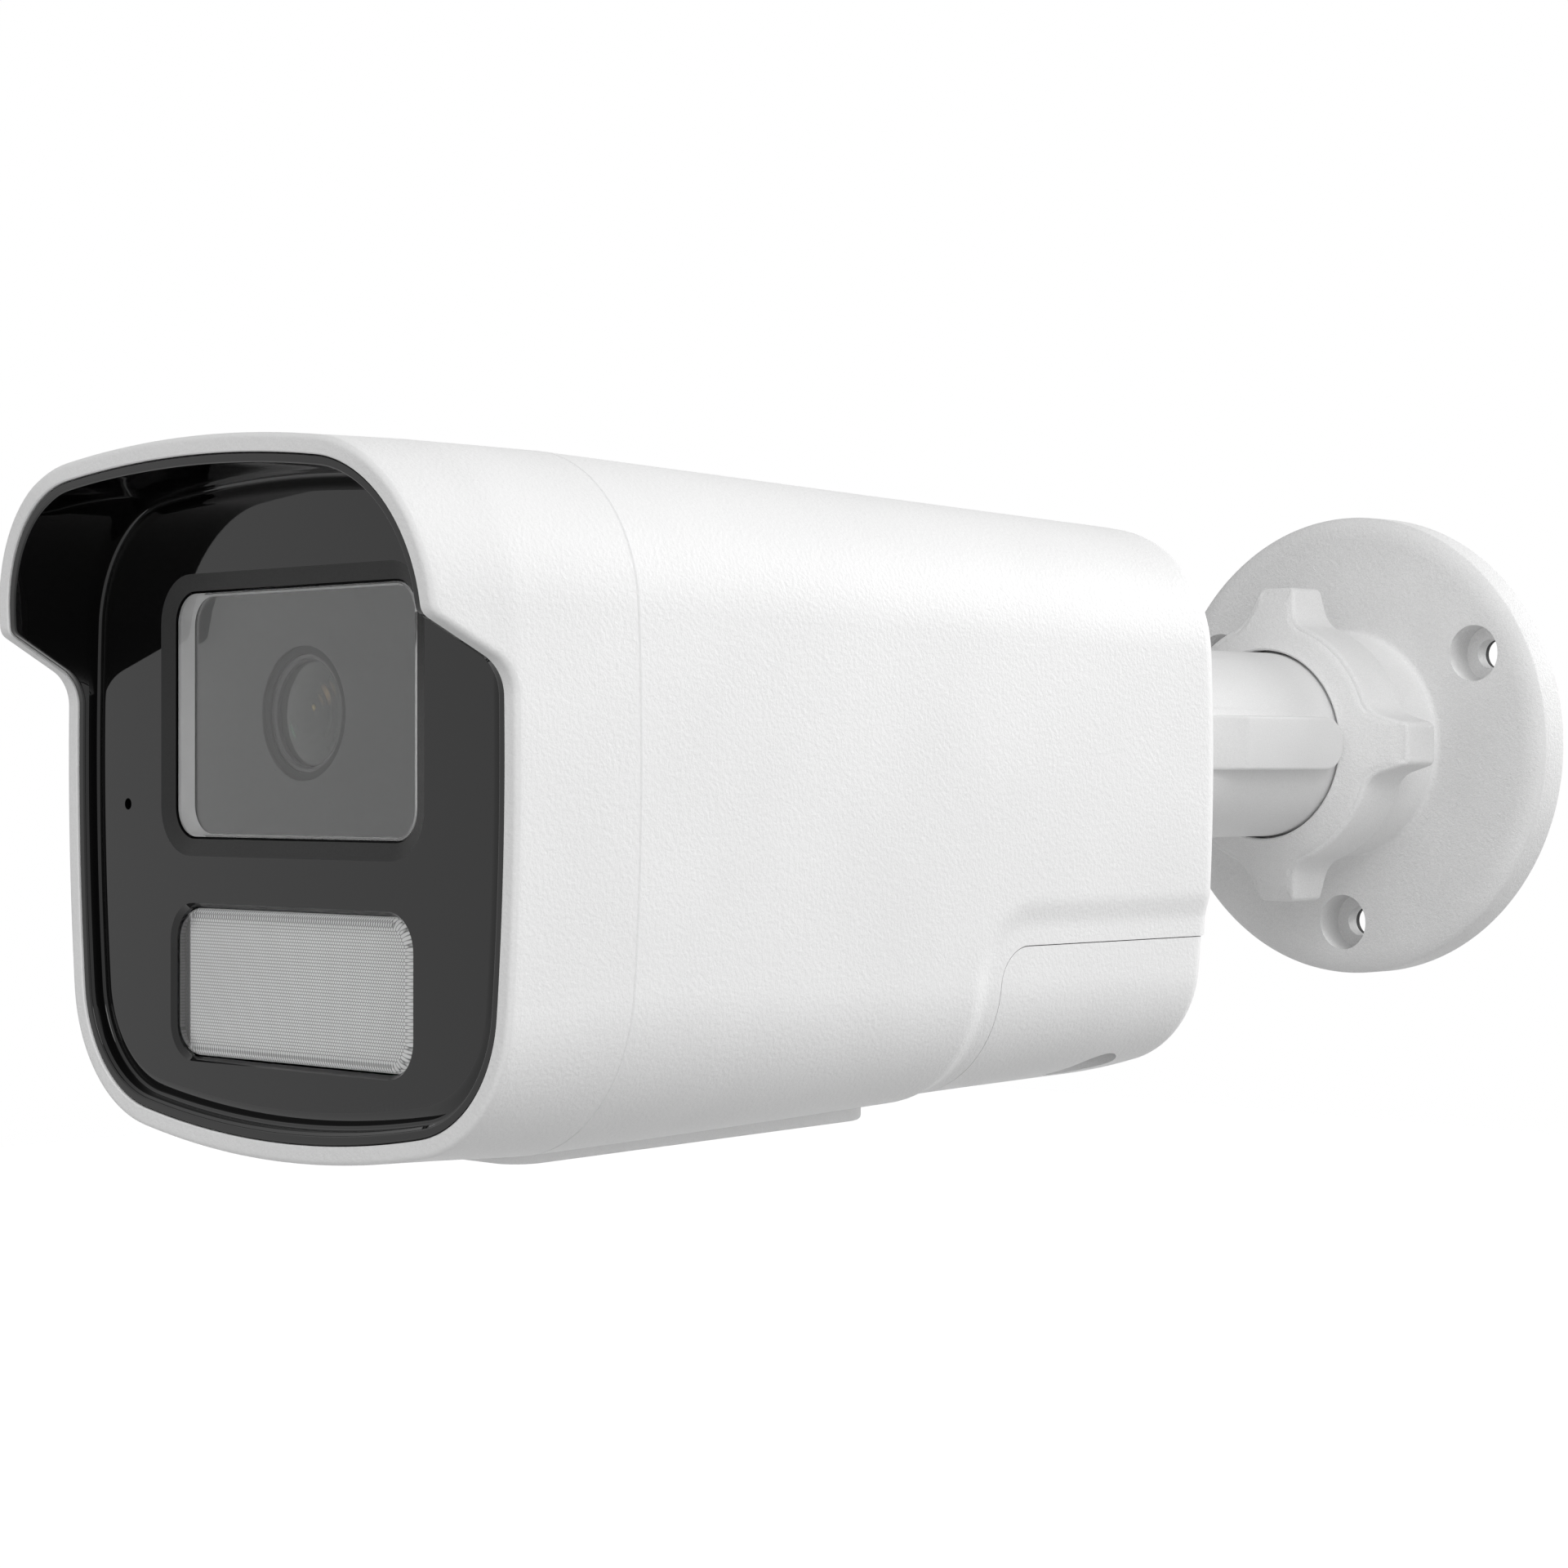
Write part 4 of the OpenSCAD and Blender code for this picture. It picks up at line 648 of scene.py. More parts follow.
body_rows = [shell_loop(BACK_Y - REAR_WALL, WALL), shell_loop(SEAM_Y, WALL), shell_loop(SEAM_Y, WALL / 2),
             shell_loop(SEAM_Y, SEAM_EDGE)]
straight = BACK_Y - REAR_EDGE - SEAM_Y - SEAM_EDGE
body_rows += [banded_loop(SEAM_Y + SEAM_EDGE + straight * i / BODY_STEPS) for i in range(BODY_STEPS + 1)]
body_rows += [banded_loop(BACK_Y - REAR_EDGE * (1 - s), REAR_EDGE * (1 - c)) for s, c in swept(9, 91, 9)]
body_rows.append(banded_loop(BACK_Y, REAR_EDGE + 0.004))
body = capped("barrel", body_rows, 40)


def rounded_box(w, h, r, steps):
    """Outline of a rectangle with rounded corners, counterclockwise from its lower right corner."""
    corners = [(w / 2 - r, -h / 2 + r, 270), (w / 2 - r, h / 2 - r, 0), (-w / 2 + r, h / 2 - r, 90),
               (-w / 2 + r, -h / 2 + r, 180)]
    return [p for cx, cy, a in corners for p in arc(cx, cy, r, a, a + 90, steps)]


# The flat pad under the barrel is a sloping block with soft lower edges.
PAD_W, PAD_L, PAD_H = 0.04, 0.0555, 0.0021
PAD_R, PAD_DROP = 0.004, 0.0003
PAD_LEAN = 1.2


def pad_point(x, y, level):
    """A point of the pad: x and y from its middle, and its height above the lower face."""
    return x, SEAM_Y + PAD_L / 2 + y, BOTTOM_Z - PAD_DROP + level + (PAD_L / 2 + y) * slope(PAD_LEAN)


def pad_row(level, inset):
    """The pad's outline at a level, moved inwards by inset."""
    outline = rounded_box(PAD_W - 2 * inset, PAD_L - 2 * inset, PAD_R - inset, 8)
    return [pad_point(x, y, level) for x, y in outline]


pad_rows = [pad_row(PAD_H, 0), pad_row(0.0005, 0), pad_row(0.00025, 7e-5), pad_row(7e-5, 0.00025),
            pad_row(0, 0.0005)]
lid, underside = [[pad_point(0, 0, level)] * len(pad_rows[0]) for level in (PAD_H, 0)]
combine(body, wrapped("pad", [lid] + pad_rows + [underside], 50), "UNION")

ASIDE, BELOW = 0.06, -0.06


def hatch_space(name, grow, extra=0.01, aside=ASIDE):
    """The space that the hatch fills, right across the camera, with its joint moved outwards by grow."""
    corner = arc(HATCH_Y + HATCH_R, HATCH_Z - HATCH_R, HATCH_R + grow, 90, 180, 14)
    far = BACK_Y + extra
    outline = [(far, HATCH_Z + grow)] + corner + [(HATCH_Y - grow, BELOW), (far, BELOW)]
    return prism(name, outline, -aside, aside)


combine(body, hatch_space("hatch space", 0))
SWIVEL_BORE_R, CABLE_HOLE_R = 0.01735, 0.0047
grommet_low, grommet_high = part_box("cable_grommet")
grommet_x = (grommet_low.x + grommet_high.x) / 2
grommet_z = (grommet_low.z + grommet_high.z) / 2
for name, radius, x, z, steps in [("swivel bore", SWIVEL_BORE_R, 0, 0, 96),
                                  ("cable hole", CABLE_HOLE_R, grommet_x, grommet_z, 48)]:
    combine(body, rod(name, radius, (x, BACK_Y - 0.006, z), (x, BACK_Y + 0.002, z), steps))

# A ceiling closes the barrel over the hatch. It has an opening for the service board and a
# threaded hole for each hatch screw.
CEILING = 0.002
CEILING_BACK = BACK_Y - REAR_WALL + 0.001
CEILING_INSET = WALL - 0.0006
SCREW_X, SCREW_Y = 0.0245, BACK_Y - 0.0125
THREAD_HOLE_R = 0.0015
under, over = HATCH_Z - 0.001, HATCH_Z + CEILING + 0.001
ceiling = capped("ceiling", [shell_loop(y, CEILING_INSET) for y in (SEAM_Y, CEILING_BACK)], 35)
combine(ceiling, hatch_space("ceiling space", CEILING), "INTERSECT")
combine(ceiling, hatch_space("under the ceiling", 0, 0.02, 0.07))
service_low, service_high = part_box("service_board")
combine(ceiling, block("service opening", (-0.015, service_low.y + 0.002, under),
                       (0.015, service_high.y - 0.002, over)))
for side in (1, -1):
    x = side * SCREW_X
    combine(ceiling, rod("thread", THREAD_HOLE_R, (x, SCREW_Y, under), (x, SCREW_Y, over), 24))


def join(piece, other):
    """Joins another piece's mesh to this one."""
    pick(piece)
    other.select_set(True)
    bpy.ops.object.join()


join(body, ceiling)
smooth(body, 40)
finished(body, satin_white, "camera", "shell_white", "body_housing")


# ---- Hatch cover ----
# Moulded cover over the card and reset compartment. It lies flush with the foot of the sloping
# band, and two captive screws in deep pockets pull it onto its gasket.

HATCH_GAP = 0.00011
HATCH_BACK = BACK_Y - HATCH_INSET
HATCH_START = HATCH_Y - 0.002
POCKET_R, POCKET_WALL = 0.0045, 0.001
POCKET_X, POCKET_Y = SCREW_X + 0.001, SCREW_Y - 0.001
POCKET_TOP, POCKET_FOOT = -0.0311, -0.0465
HATCH_HOLE_R = 0.00155
LEDGE_Z = HATCH_Z - 0.0008
LEDGE_T = 0.0012
LEDGE_OUT, LEDGE_IN = 0.039, 0.0315
hatch_rows = [shell_loop(y, HATCH_INSET + WALL) for y in (BACK_Y - REAR_WALL, HATCH_START)]
hatch_rows += [shell_loop(HATCH_START + (HATCH_BACK - REAR_EDGE - HATCH_START) * i / 30, HATCH_INSET)
               for i in range(31)]
hatch_rows += [shell_loop(HATCH_BACK - REAR_EDGE * (1 - s), HATCH_INSET + REAR_EDGE * (1 - c))
               for s, c in swept(9, 91, 9)]
hatch = capped("service_hatch", hatch_rows, 40)
combine(hatch, hatch_space("hatch space", -HATCH_GAP), "INTERSECT")

# Inside, a ledge for the gasket runs round the compartment between the two pockets' tubes.
tubes, tube = [rod("tube", POCKET_R + POCKET_WALL, (x, POCKET_Y, POCKET_FOOT), (x, POCKET_Y, LEDGE_Z))
               for x in (POCKET_X, -POCKET_X)]
join(tubes, tube)
ledge = block("ledge", (-LEDGE_OUT, HATCH_Y + 0.0045, LEDGE_Z - LEDGE_T),
              (LEDGE_OUT, BACK_Y - 0.0041, LEDGE_Z))
combine(ledge, block("ledge room", (-LEDGE_IN, HATCH_Y + 0.0075, -0.03), (LEDGE_IN, BACK_Y - 0.0075, -0.02)))
combine(tubes, ledge, "UNION")
INSIDE_INSET, INSIDE_BACK = HATCH_INSET + 0.0011, BACK_Y - 0.0045
inside = capped("inside", [shell_loop(y, INSIDE_INSET) for y in (SEAM_Y, INSIDE_BACK)], 35)
combine(tubes, inside, "INTERSECT")
combine(hatch, tubes, "UNION")
for side in (1, -1):
    x = side * POCKET_X
    combine(hatch, rod("pocket", POCKET_R, (x, POCKET_Y, BELOW), (x, POCKET_Y, POCKET_TOP)))
    x = side * SCREW_X
    combine(hatch, rod("screw hole", HATCH_HOLE_R, (x, SCREW_Y, -0.04), (x, SCREW_Y, -0.02), 32))
smooth(hatch, 40)
finished(hatch, satin_white, "camera", "shell_white", "hatch_cover")
dress(grained("Moulded rubber", (0.028, 0.028, 0.03), (0.018, 0.018, 0.019), 0.62, 0.0006, 2e-5, 0.6),
      "hatch_gasket", "cable_grommet", "front_seal", "window_gasket", "microphone_boot")


# ---- Boards and chips ----
# Glass-fibre boards with green solder mask over copper tracks, black moulded chips, ivory
# connectors and an extruded aluminium heat sink, held on a folded zinc-coated chassis.

def board_finish(name, colour, track, pitch):
    """Solder mask over copper: straight tracks show lighter, with tinned via dots between them."""
    made, tree, shader = material(name, colour, 0.32)
    point = object_point(tree)
    bricks = node(tree, "TexBrick", {
        "Vector": point, "Scale": 1 / pitch, "Mortar Size": 0.06,
        "Color1": rgba(0), "Color2": rgba(0.25), "Mortar": rgba(1)})
    dots = node(tree, "TexVoronoi", {"Vector": point, "Scale": 0.7 / pitch})
    via = math_node(tree, "LESS_THAN", dots.outputs["Distance"], 0.13)
    tracks = math_node(tree, "MAXIMUM", bricks.outputs["Color"], via)
    feed(tree, shader, {"Base Color": mix_colours(tree, tracks, colour, track),
                        "Roughness": stretch(tree, via, 0, 1, 0.32, 0.18)})
    bump(tree, shader, tracks, 0.5, 4e-5)
    return made


dress(board_finish("Green solder mask", (0.012, 0.11, 0.035), (0.03, 0.2, 0.07), 0.0032),
      "main_board", "service_board", "led_board", "sensor_board")
dress(board_finish("Polyimide ribbon", (0.5, 0.21, 0.04), (0.62, 0.33, 0.1), 0.0011), "sensor_ribbon")
dress(grained("Moulded chip resin", (0.02, 0.02, 0.022), (0.035, 0.035, 0.037), 0.5, 0.0002, 8e-6, 1.0),
      "processor", "memory_chips", "network_transformer")
dress(grained("Ivory nylon", (0.76, 0.7, 0.52), (0.66, 0.6, 0.44), 0.42, 0.0006, 1e-5),
      "ribbon_connectors", "board_connector")
dress(grained("Grey ferrite", (0.07, 0.07, 0.08), (0.045, 0.045, 0.05), 0.6, 0.0003, 2e-5, 1.0),
      "power_inductors")
dress(grained("Silicone gap pad", (0.3, 0.42, 0.55), (0.24, 0.36, 0.5), 0.55, 0.0005, 2e-5), "thermal_pad")
dress(drawn("Extruded aluminium", (0.74, 0.75, 0.76), (0.62, 0.63, 0.65), 0.34, 0.00025, 1e-5),
      "heat_sink")
dress(drawn("Zinc-coated sheet", (0.56, 0.57, 0.59), (0.44, 0.45, 0.48), 0.36, 0.0009, 6e-6, wave=0.9),
      "front_chassis", "card_socket", "reset_switch", "microphone")
dress(grained("Orange nylon", (0.7, 0.16, 0.02), (0.6, 0.12, 0.015), 0.4, 0.0004, 1e-5),
      "reset_button", "filter_slider")
dress(drawn("Drawn copper case", (0.72, 0.42, 0.26), (0.6, 0.32, 0.19), 0.32, 0.00015, 6e-6),
      "filter_motor")


# ---- Lens and filter ----
# Blackened aluminium barrel with three coated glass elements, screwed into a moulded holder over
# the sensor. A small motor slides the filter glasses across.

def glass(name, tint, edge_tint=None, ior=1.5):
    """Clear glass. A coated lens takes a second tint where it is seen at a slant."""
    made, tree, shader = material(name, tint, 0.0)
    if edge_tint:
        factor = node(tree, "LayerWeight", {"Blend": 0.5}).outputs["Facing"]
    else:
        factor, edge_tint = noise(tree, object_point(tree), 90.0, 1.0), [c * 0.97 for c in tint]
    feed(tree, shader, {"Transmission Weight": 1.0, "IOR": ior,
                        "Base Color": mix_colours(tree, factor, tint, edge_tint)})
    return made


# The front element looks almost black from outside. Its colour carries faint dark rings, painted in for the
# stages of the barrel seen through it, and three soft tinted spots, which are painted reflections from the
# lens elements further in.
lens_low, lens_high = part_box("front_lens")
LENS_Z = (lens_low.z + lens_high.z) / 2
PAINTED_REFLECTION_SPOTS = [((0.0029, 0, 0.0021), 0.0015, (0.16, 0.1, 0.035)),
                 ((-0.0031, 0, -0.0018), 0.0014, (0.03, 0.085, 0.05)),
                 ((0.0009, 0, 0.0006), 0.0005, (0.22, 0.17, 0.05))]
front_coating_and_reflections, tree, shader = material("Coated front element with painted reflections", (0.01, 0.012, 0.01), 0.02)
on_axis = node(tree, "VectorMath", {0: object_point(tree), 1: (0, 0, LENS_Z)}, operation="SUBTRACT")
from_axis = on_axis.outputs["Vector"]
in_plane = node(tree, "VectorMath", {0: from_axis, 1: (1, 0, 1)}, operation="MULTIPLY").outputs["Vector"]
rings = node(tree, "TexWave", {"Scale": 260.0, "Vector": from_axis}, wave_type="RINGS", rings_direction="Y")
slant = node(tree, "LayerWeight", {"Blend": 0.35})
coating_and_reflections = mix_colours(tree, slant.outputs["Facing"], (0.012, 0.016, 0.013), (0.02, 0.017, 0.012))
# Each spot is a painted reflection: a tint that fades out from its centre over its reach.
for centre, reach, tint in PAINTED_REFLECTION_SPOTS:
    away = node(tree, "VectorMath", {0: in_plane, 1: centre}, operation="DISTANCE").outputs["Value"]
    coating_and_reflections = mix_colours(tree, stretch(tree, away, 0.0, reach, 1.0, 0.0), coating_and_reflections, tint)
dark_rings = stretch(tree, rings.outputs["Fac"], 0.3, 0.7, 0.0, 0.8)
feed(tree, shader, {"IOR": 1.42, "Base Color": mix_colours(tree, dark_rings, coating_and_reflections, 0.002)})

# The front element is a shallow dome that fills the barrel's mouth. A thin bevelled ring holds it.
BARREL_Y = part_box("lens_barrel")[0].y
DOME_R, DOME_RISE = 0.0057, 0.00065
DOME_Y = 0.00035
STEM_R = 0.00495
ELEMENT_EDGE_Y, ELEMENT_BACK_Y = 0.00115, 0.0026


def lens_loop(radius, setback):
    """A circle about the lens axis, set back from the barrel's front."""
    return hoop(radius, BARREL_Y + setback, LENS_Z, 96)


dome_rows = [lens_loop(DOME_R * t / 12, DOME_Y + DOME_RISE * (t / 12) ** 2) for t in range(13)]
front_element = wrapped("front_element", dome_rows + [
    lens_loop(DOME_R, ELEMENT_EDGE_Y), lens_loop(STEM_R, ELEMENT_EDGE_Y), lens_loop(STEM_R, ELEMENT_BACK_Y),
    lens_loop(0, ELEMENT_BACK_Y)], 30)
finished(front_element, front_coating_and_reflections, "camera", "optical_glass", "front_lens")
RING_OUT, RING_IN = 0.00635, 0.00575
ring_profile = [(RING_OUT, 0.0003), (0.0060, 0.0003), (RING_IN, 0.00055), (RING_IN, ELEMENT_EDGE_Y),
                (RING_OUT, ELEMENT_EDGE_Y)]
lens_ring = wrapped("lens_ring", [lens_loop(r, y) for r, y in ring_profile + ring_profile[:1]], 25)
ring_black = grained("Satin black lens ring", 0.018, 0.024, 0.3, 0.0003, 6e-6, 0.6, gloss=0.4)
finished(lens_ring, ring_black, "camera", "dark_barrel", "lens_retaining_ring")

dress(glass("Coated lens glass", (0.24, 0.36, 0.28), (0.42, 0.26, 0.12), ior=1.45),
      "middle_lens", "rear_lens")
dress(glass("Infrared filter glass", (0.72, 0.93, 0.96)), "ir_cut_glass")
dress(glass("Clear filter glass", (0.96, 0.98, 0.97)), "clear_glass")
dress(grained("Black anodised aluminium", 0.002, 0.005, 0.5, 0.0003, 8e-6, 0.8, gloss=0.05), "lens_barrel")
dress(grained("Black holder resin", (0.022, 0.022, 0.024), (0.032, 0.032, 0.034), 0.55, 0.0005, 1e-5),
      "lens_holder", "filter_housing")
dress(grained("Sensor cover glass", (0.03, 0.045, 0.07), (0.02, 0.03, 0.05), 0.12, 0.0008, 1e-6),
      "image_sensor")
dress(grained("Baffle", 0.009, 0.0065, 0.22, 0.0005, 1e-6, gloss=0.35), "lens_shroud")


# ---- Lamps ----
# Four white lamp chips on their board, each in its own silvered cup.

dress(grained("Lamp phosphor", (0.82, 0.7, 0.3), (0.74, 0.62, 0.25), 0.45, 0.0003, 1e-5), "leds")
dress(drawn("Silvered reflector", (0.82, 0.82, 0.83), (0.74, 0.74, 0.76), 0.16, 0.0004, 3e-6),
      "light_reflector")


# ---- Face panel and hood liner ----
# One moulding in gloss black: a lip follows the cover's front edge, the liner runs back under the
# visor, and a rounded bead and groove lead to the flat panel that holds both windows.

FACE_Y = RIM_Y + 0.0016
FACE_BACK_Y = FACE_Y + 0.002
RIM_TOP_Z = 0.0062
VISOR_TIP_Z = 0.0114
VISOR_RAKE = 0.0019


def rounded_path(corners, steps):
    """An open path with its inner corners rounded. Each corner is (y, z, radius)."""
    path = [corners[0][:2]]
    for before, (py, pz, r), after in zip(corners, corners[1:], corners[2:]):
        (uy, uz), (vy, vz) = [
            ((y - py) / math.hypot(y - py, z - pz), (z - pz) / math.hypot(y - py, z - pz))
            for y, z, _ in (before, after)]
        half = math.acos(uy * vy + uz * vz) / 2
        reach = r / math.tan(half)
        m = math.hypot(uy + vy, uz + vz)
        cy = py + (uy + vy) / m * r / math.sin(half)
        cz = pz + (uz + vz) / m * r / math.sin(half)
        a0, a1 = [math.atan2(pz + z * reach - cz, py + y * reach - cy) for y, z in ((uy, uz), (vy, vz))]
        turn = (a1 - a0 + math.pi) % (2 * math.pi) - math.pi
        path += [(cy + r * math.cos(a0 + turn * i / steps), cz + r * math.sin(a0 + turn * i / steps))
                 for i in range(steps + 1)]
    return path + [corners[-1][:2]]


# The cover's front edge in side view, from the lower rim up to the top of the visor.
front_path = rounded_path([
    (0, -0.1, 0), (0, RIM_TOP_Z, 0.0045), (-VISOR_L + VISOR_RAKE, VISOR_TIP_Z, 0.0015),
    (-VISOR_L, TOP_Z - 0.004, 0.006), (-VISOR_L, 0.1, 0)], 16)


def front_edge(z):
    """The front edge at height z: its y, and the direction that leads into the cover."""
    for (y0, z0), (y1, z1) in zip(front_path, front_path[1:]):
        if z <= z1:
            t = (z - z0) / (z1 - z0) if z1 > z0 else 0.0
            length = math.hypot(y1 - y0, z1 - z0)
            return RIM_Y + y0 + (y1 - y0) * t, ((z1 - z0) / length, -(y1 - y0) / length)
    return RIM_Y - VISOR_L, (1.0, 0.0)


def slid_point(u, y, z, inset):
    """x of the shell's point at y whose height is z, near u."""
    for _ in range(4):
        _, z0 = shell_point(u, y, inset)
        if abs(z - z0) < 1e-7:
            break
        step = 0.01 if u < HALF_LOOP - 1 else -0.01
        _, z1 = shell_point(u + step, y, inset)
        climb = (z1 - z0) / step
        if abs(climb) < 1e-6:
            break
        u = min(max(u + max(-1.5, min(1.5, (z - z0) / climb)), 0), HALF_LOOP)
    return shell_point(u, y, inset)[0]


def edge_loop(inset, setback):
    """A loop that follows the front edge, set back into the cover, at an inset from its outside."""
    def point_at(u):
        y = RIM_Y - VISOR_L
        for _ in range(5):
            _, z = shell_point(u, y, inset)
            y, (ny, nz) = front_edge(z)
        x, z = shell_point(u, y, inset)
        if nz < 1e-4:
            y += setback
            return shell_point(u, y, inset)[0], y, z
        y, z = y + setback * ny, z + setback * nz
        return slid_point(u, y, z, inset), y, z
    return loop_of(point_at)


def blend_loops(first, second, t):
    """A loop part of the way from one to another."""
    return [tuple(a + (b - a) * t for a, b in zip(p, q)) for p, q in zip(first, second)]


LIP_SETBACK = 0.00025
LIP_OUT, LIP_IN = 0.0021, 0.0031
LIP_EDGE, LIP_CHAMFER = 0.00022, 0.0001
FOOT_AHEAD, FOOT_INSET = 0.0009, 0.0034
foot = shell_loop(FACE_Y - FOOT_AHEAD, FOOT_INSET)
lip_inner = edge_loop(LIP_IN, LIP_SETBACK + LIP_EDGE)
bezel_rows = [shell_loop(FACE_BACK_Y, LIP_OUT), shell_loop(FACE_Y - 0.0002, LIP_OUT),
              edge_loop(LIP_OUT, LIP_SETBACK + LIP_CHAMFER), edge_loop(LIP_OUT + LIP_CHAMFER, LIP_SETBACK),
              edge_loop(LIP_IN - LIP_EDGE, LIP_SETBACK)]
bezel_rows += [edge_loop(LIP_IN - LIP_EDGE * (1 - s), LIP_SETBACK + LIP_EDGE * (1 - c))
               for s, c in swept(10, 91, 10)]
bezel_rows += [blend_loops(lip_inner, foot, i / 15) for i in range(1, 16)]
# From the liner's foot through a groove to the panel's soft edge. Corners are (inset, distance
# behind the panel's front, radius).
groove = rounded_path([(FOOT_INSET, -FOOT_AHEAD, 0), (0.00352, 0.0004, 0.0004), (0.00405, 0.0004, 0.0006),
                       (0.005, 0, 0.0022), (0.0055, 0, 0)], 9)
bezel_rows += [shell_loop(FACE_Y + behind, inset) for inset, behind in groove[1:]]
bezel = capped("face_moulding", bezel_rows, 40)


def window_measures(low, high):
    """Width, height, middle height, front y and back y of a window with these corners."""
    return high.x - low.x, high.z - low.z, (low.z + high.z) / 2, low.y, high.y


def window_loop(w, h, r, y, z, steps):
    """A rounded rectangle across the camera, as a loop."""
    return [(px, y, z + pz) for px, pz in rounded_box(w, h, r, steps)]


def opening(name, w, h, r, z, levels):
    """A cutter for a window. Each level is (y, how far it is wider than the window all round)."""
    loops = [window_loop(w + 2 * g, h + 2 * g, r + g, y, z, 10) for y, g in levels]
    return capped(name, loops, 35, z)


WINDOW_W, WINDOW_H, WINDOW_Z, WINDOW_Y, WINDOW_BACK = window_measures(*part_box("lens_window"))
LIGHT_W, LIGHT_H, LIGHT_Z, LIGHT_Y, LIGHT_BACK = window_measures(*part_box("light_window"))
WINDOW_R, LIGHT_R = 0.0033, 0.0036
FRAME_W = 0.0021
FIT = 0.00012
PAST_BACK = FACE_BACK_Y + 0.001
flare = FRAME_W / (WINDOW_Y - FACE_Y)
combine(bezel, opening("lens opening", WINDOW_W, WINDOW_H, WINDOW_R, WINDOW_Z, [
    (FACE_Y - 0.0005, FRAME_W + 0.0005 * flare), (WINDOW_Y - 6e-5, 0.00025), (PAST_BACK, FIT)]))
combine(bezel, opening("light opening", LIGHT_W, LIGHT_H, LIGHT_R, LIGHT_Z, [
    (FACE_Y - 0.0004, 0.0009), (FACE_Y + 5e-5, 0.00055), (FACE_Y + 0.0006, FIT), (PAST_BACK, FIT)]))
MIC_X, MIC_Z, MIC_R = -0.0295, -0.0076, 0.00065
combine(bezel, rod("microphone hole", MIC_R, (MIC_X, FACE_Y - 0.001, MIC_Z), (MIC_X, PAST_BACK, MIC_Z), 32))
smooth(bezel, 24)
for edge in bezel.data.edges:
    ends = [bezel.data.vertices[i].co for i in edge.vertices]
    if all(abs(v.y - FACE_Y) < 1e-6 and abs(v.x) < WINDOW_W / 2 + FRAME_W + 0.001 for v in ends):
        edge.use_edge_sharp = True
gloss_black = grained("Gloss black polycarbonate", (0.0012, 0.0012, 0.0013), (0.002, 0.002, 0.0021), 0.03,
                      0.0009, 3e-7, 0.3, 0.01)
gloss_black.node_tree.nodes["Principled BSDF"].inputs["IOR"].default_value = 1.43
finished(bezel, gloss_black, "camera", "face_black", "front_bezel")
satin_black = grained("Satin black frame", 0.036, 0.03, 0.4, 0.0005, 4e-6, 0.5, gloss=0.12)
bezel.data.materials.append(satin_black)
for face in bezel.data.polygons:
    middle, across, up = face.center, WINDOW_W / 2 + FRAME_W, WINDOW_H / 2 + FRAME_W
    if abs(middle.x) < across and abs(middle.z - WINDOW_Z) < up and middle.y > FACE_Y:
        if -0.99 < face.normal.y < -0.8:
            face.material_index = 1


# ---- Lens window ----
# A pane of clear glass, set back behind a bevelled frame. Its rim slants and is ground, which
# shows as a pale band from the side.

TAPER_W, TAPER_H = 0.0014, 0.0003
pane_rows = [window_loop(WINDOW_W - 2 * w, WINDOW_H - 2 * h, WINDOW_R, y, WINDOW_Z, 12)
             for y, w, h in [(WINDOW_Y, 0.0002, 0.0002), (WINDOW_Y + 0.0001, 0, 0), (WINDOW_Y + 0.0008, 0, 0),
                             (WINDOW_BACK, TAPER_W, TAPER_H)]]
pane = capped("lens_pane", pane_rows, 8, WINDOW_Z)
window_glass = glass("Window glass", (0.97, 0.975, 0.975), ior=1.43)
ground_rim = grained("Ground glass rim", 0.72, 0.6, 0.6, 0.0002, 1e-5, 1.0)
finished(pane, window_glass, "camera", "optical_glass", "lens_window")
pane.data.materials.append(ground_rim)
for face in pane.data.polygons:
    if abs(face.normal.y) < 0.85:
        face.material_index = 1


# ---- Light window ----
# Moulded clear plate over the lamps, with rounded edges and a fine honeycomb of lens cells that
# spreads the light. A dark border hides its ends.

honeycomb, comb_in, comb_out = new_group("Honeycomb", {"Cell": 0.0005}, ["Height", "Wall"])
comb_point = node(honeycomb, "SeparateXYZ", {"Vector": comb_in.outputs["Vector"]})
comb_x, comb_z = [math_node(honeycomb, "DIVIDE", comb_point.outputs[axis], comb_in.outputs["Cell"])
                  for axis in ("X", "Z")]


def cell_part(shift):
    """Distance from the nearest cell centre of one of the two grids that make up the honeycomb."""
    offsets = []
    for place, half_pitch in ((comb_x, 0.5), (comb_z, 0.866)):
        moved = math_node(honeycomb, "ADD", place, half_pitch * shift)
        within = math_node(honeycomb, "FLOORED_MODULO", moved, 2 * half_pitch)
        offset = math_node(honeycomb, "SUBTRACT", within, half_pitch)
        offsets.append(math_node(honeycomb, "MULTIPLY", offset, offset))
    return math_node(honeycomb, "SQRT", math_node(honeycomb, "ADD", *offsets))


cell_distance = math_node(honeycomb, "MINIMUM", cell_part(0), cell_part(1))
squared = math_node(honeycomb, "MULTIPLY", cell_distance, cell_distance)
feed(honeycomb, comb_out, {"Height": math_node(honeycomb, "SUBTRACT", 1.0, squared),
                           "Wall": stretch(honeycomb, cell_distance, 0.34, 0.56)})

CELL = 0.0004
LIGHT_ROUND = 0.0010
BORDER = 0.0011


def light_loop(inset, y):
    """The light window's outline at y, moved inwards by inset."""
    return window_loop(LIGHT_W - 2 * inset, LIGHT_H - 2 * inset, LIGHT_R - inset, y, LIGHT_Z, 12)


light_rows = [light_loop(LIGHT_ROUND + 0.0003, LIGHT_Y)]
light_rows += [light_loop(LIGHT_ROUND * (1 - c), LIGHT_Y + LIGHT_ROUND * (1 - s))
               for s, c in swept(90, -1, -15)]
light_rows.append(light_loop(0, LIGHT_BACK))
light_pane = capped("light_pane", light_rows, 50, LIGHT_Z)


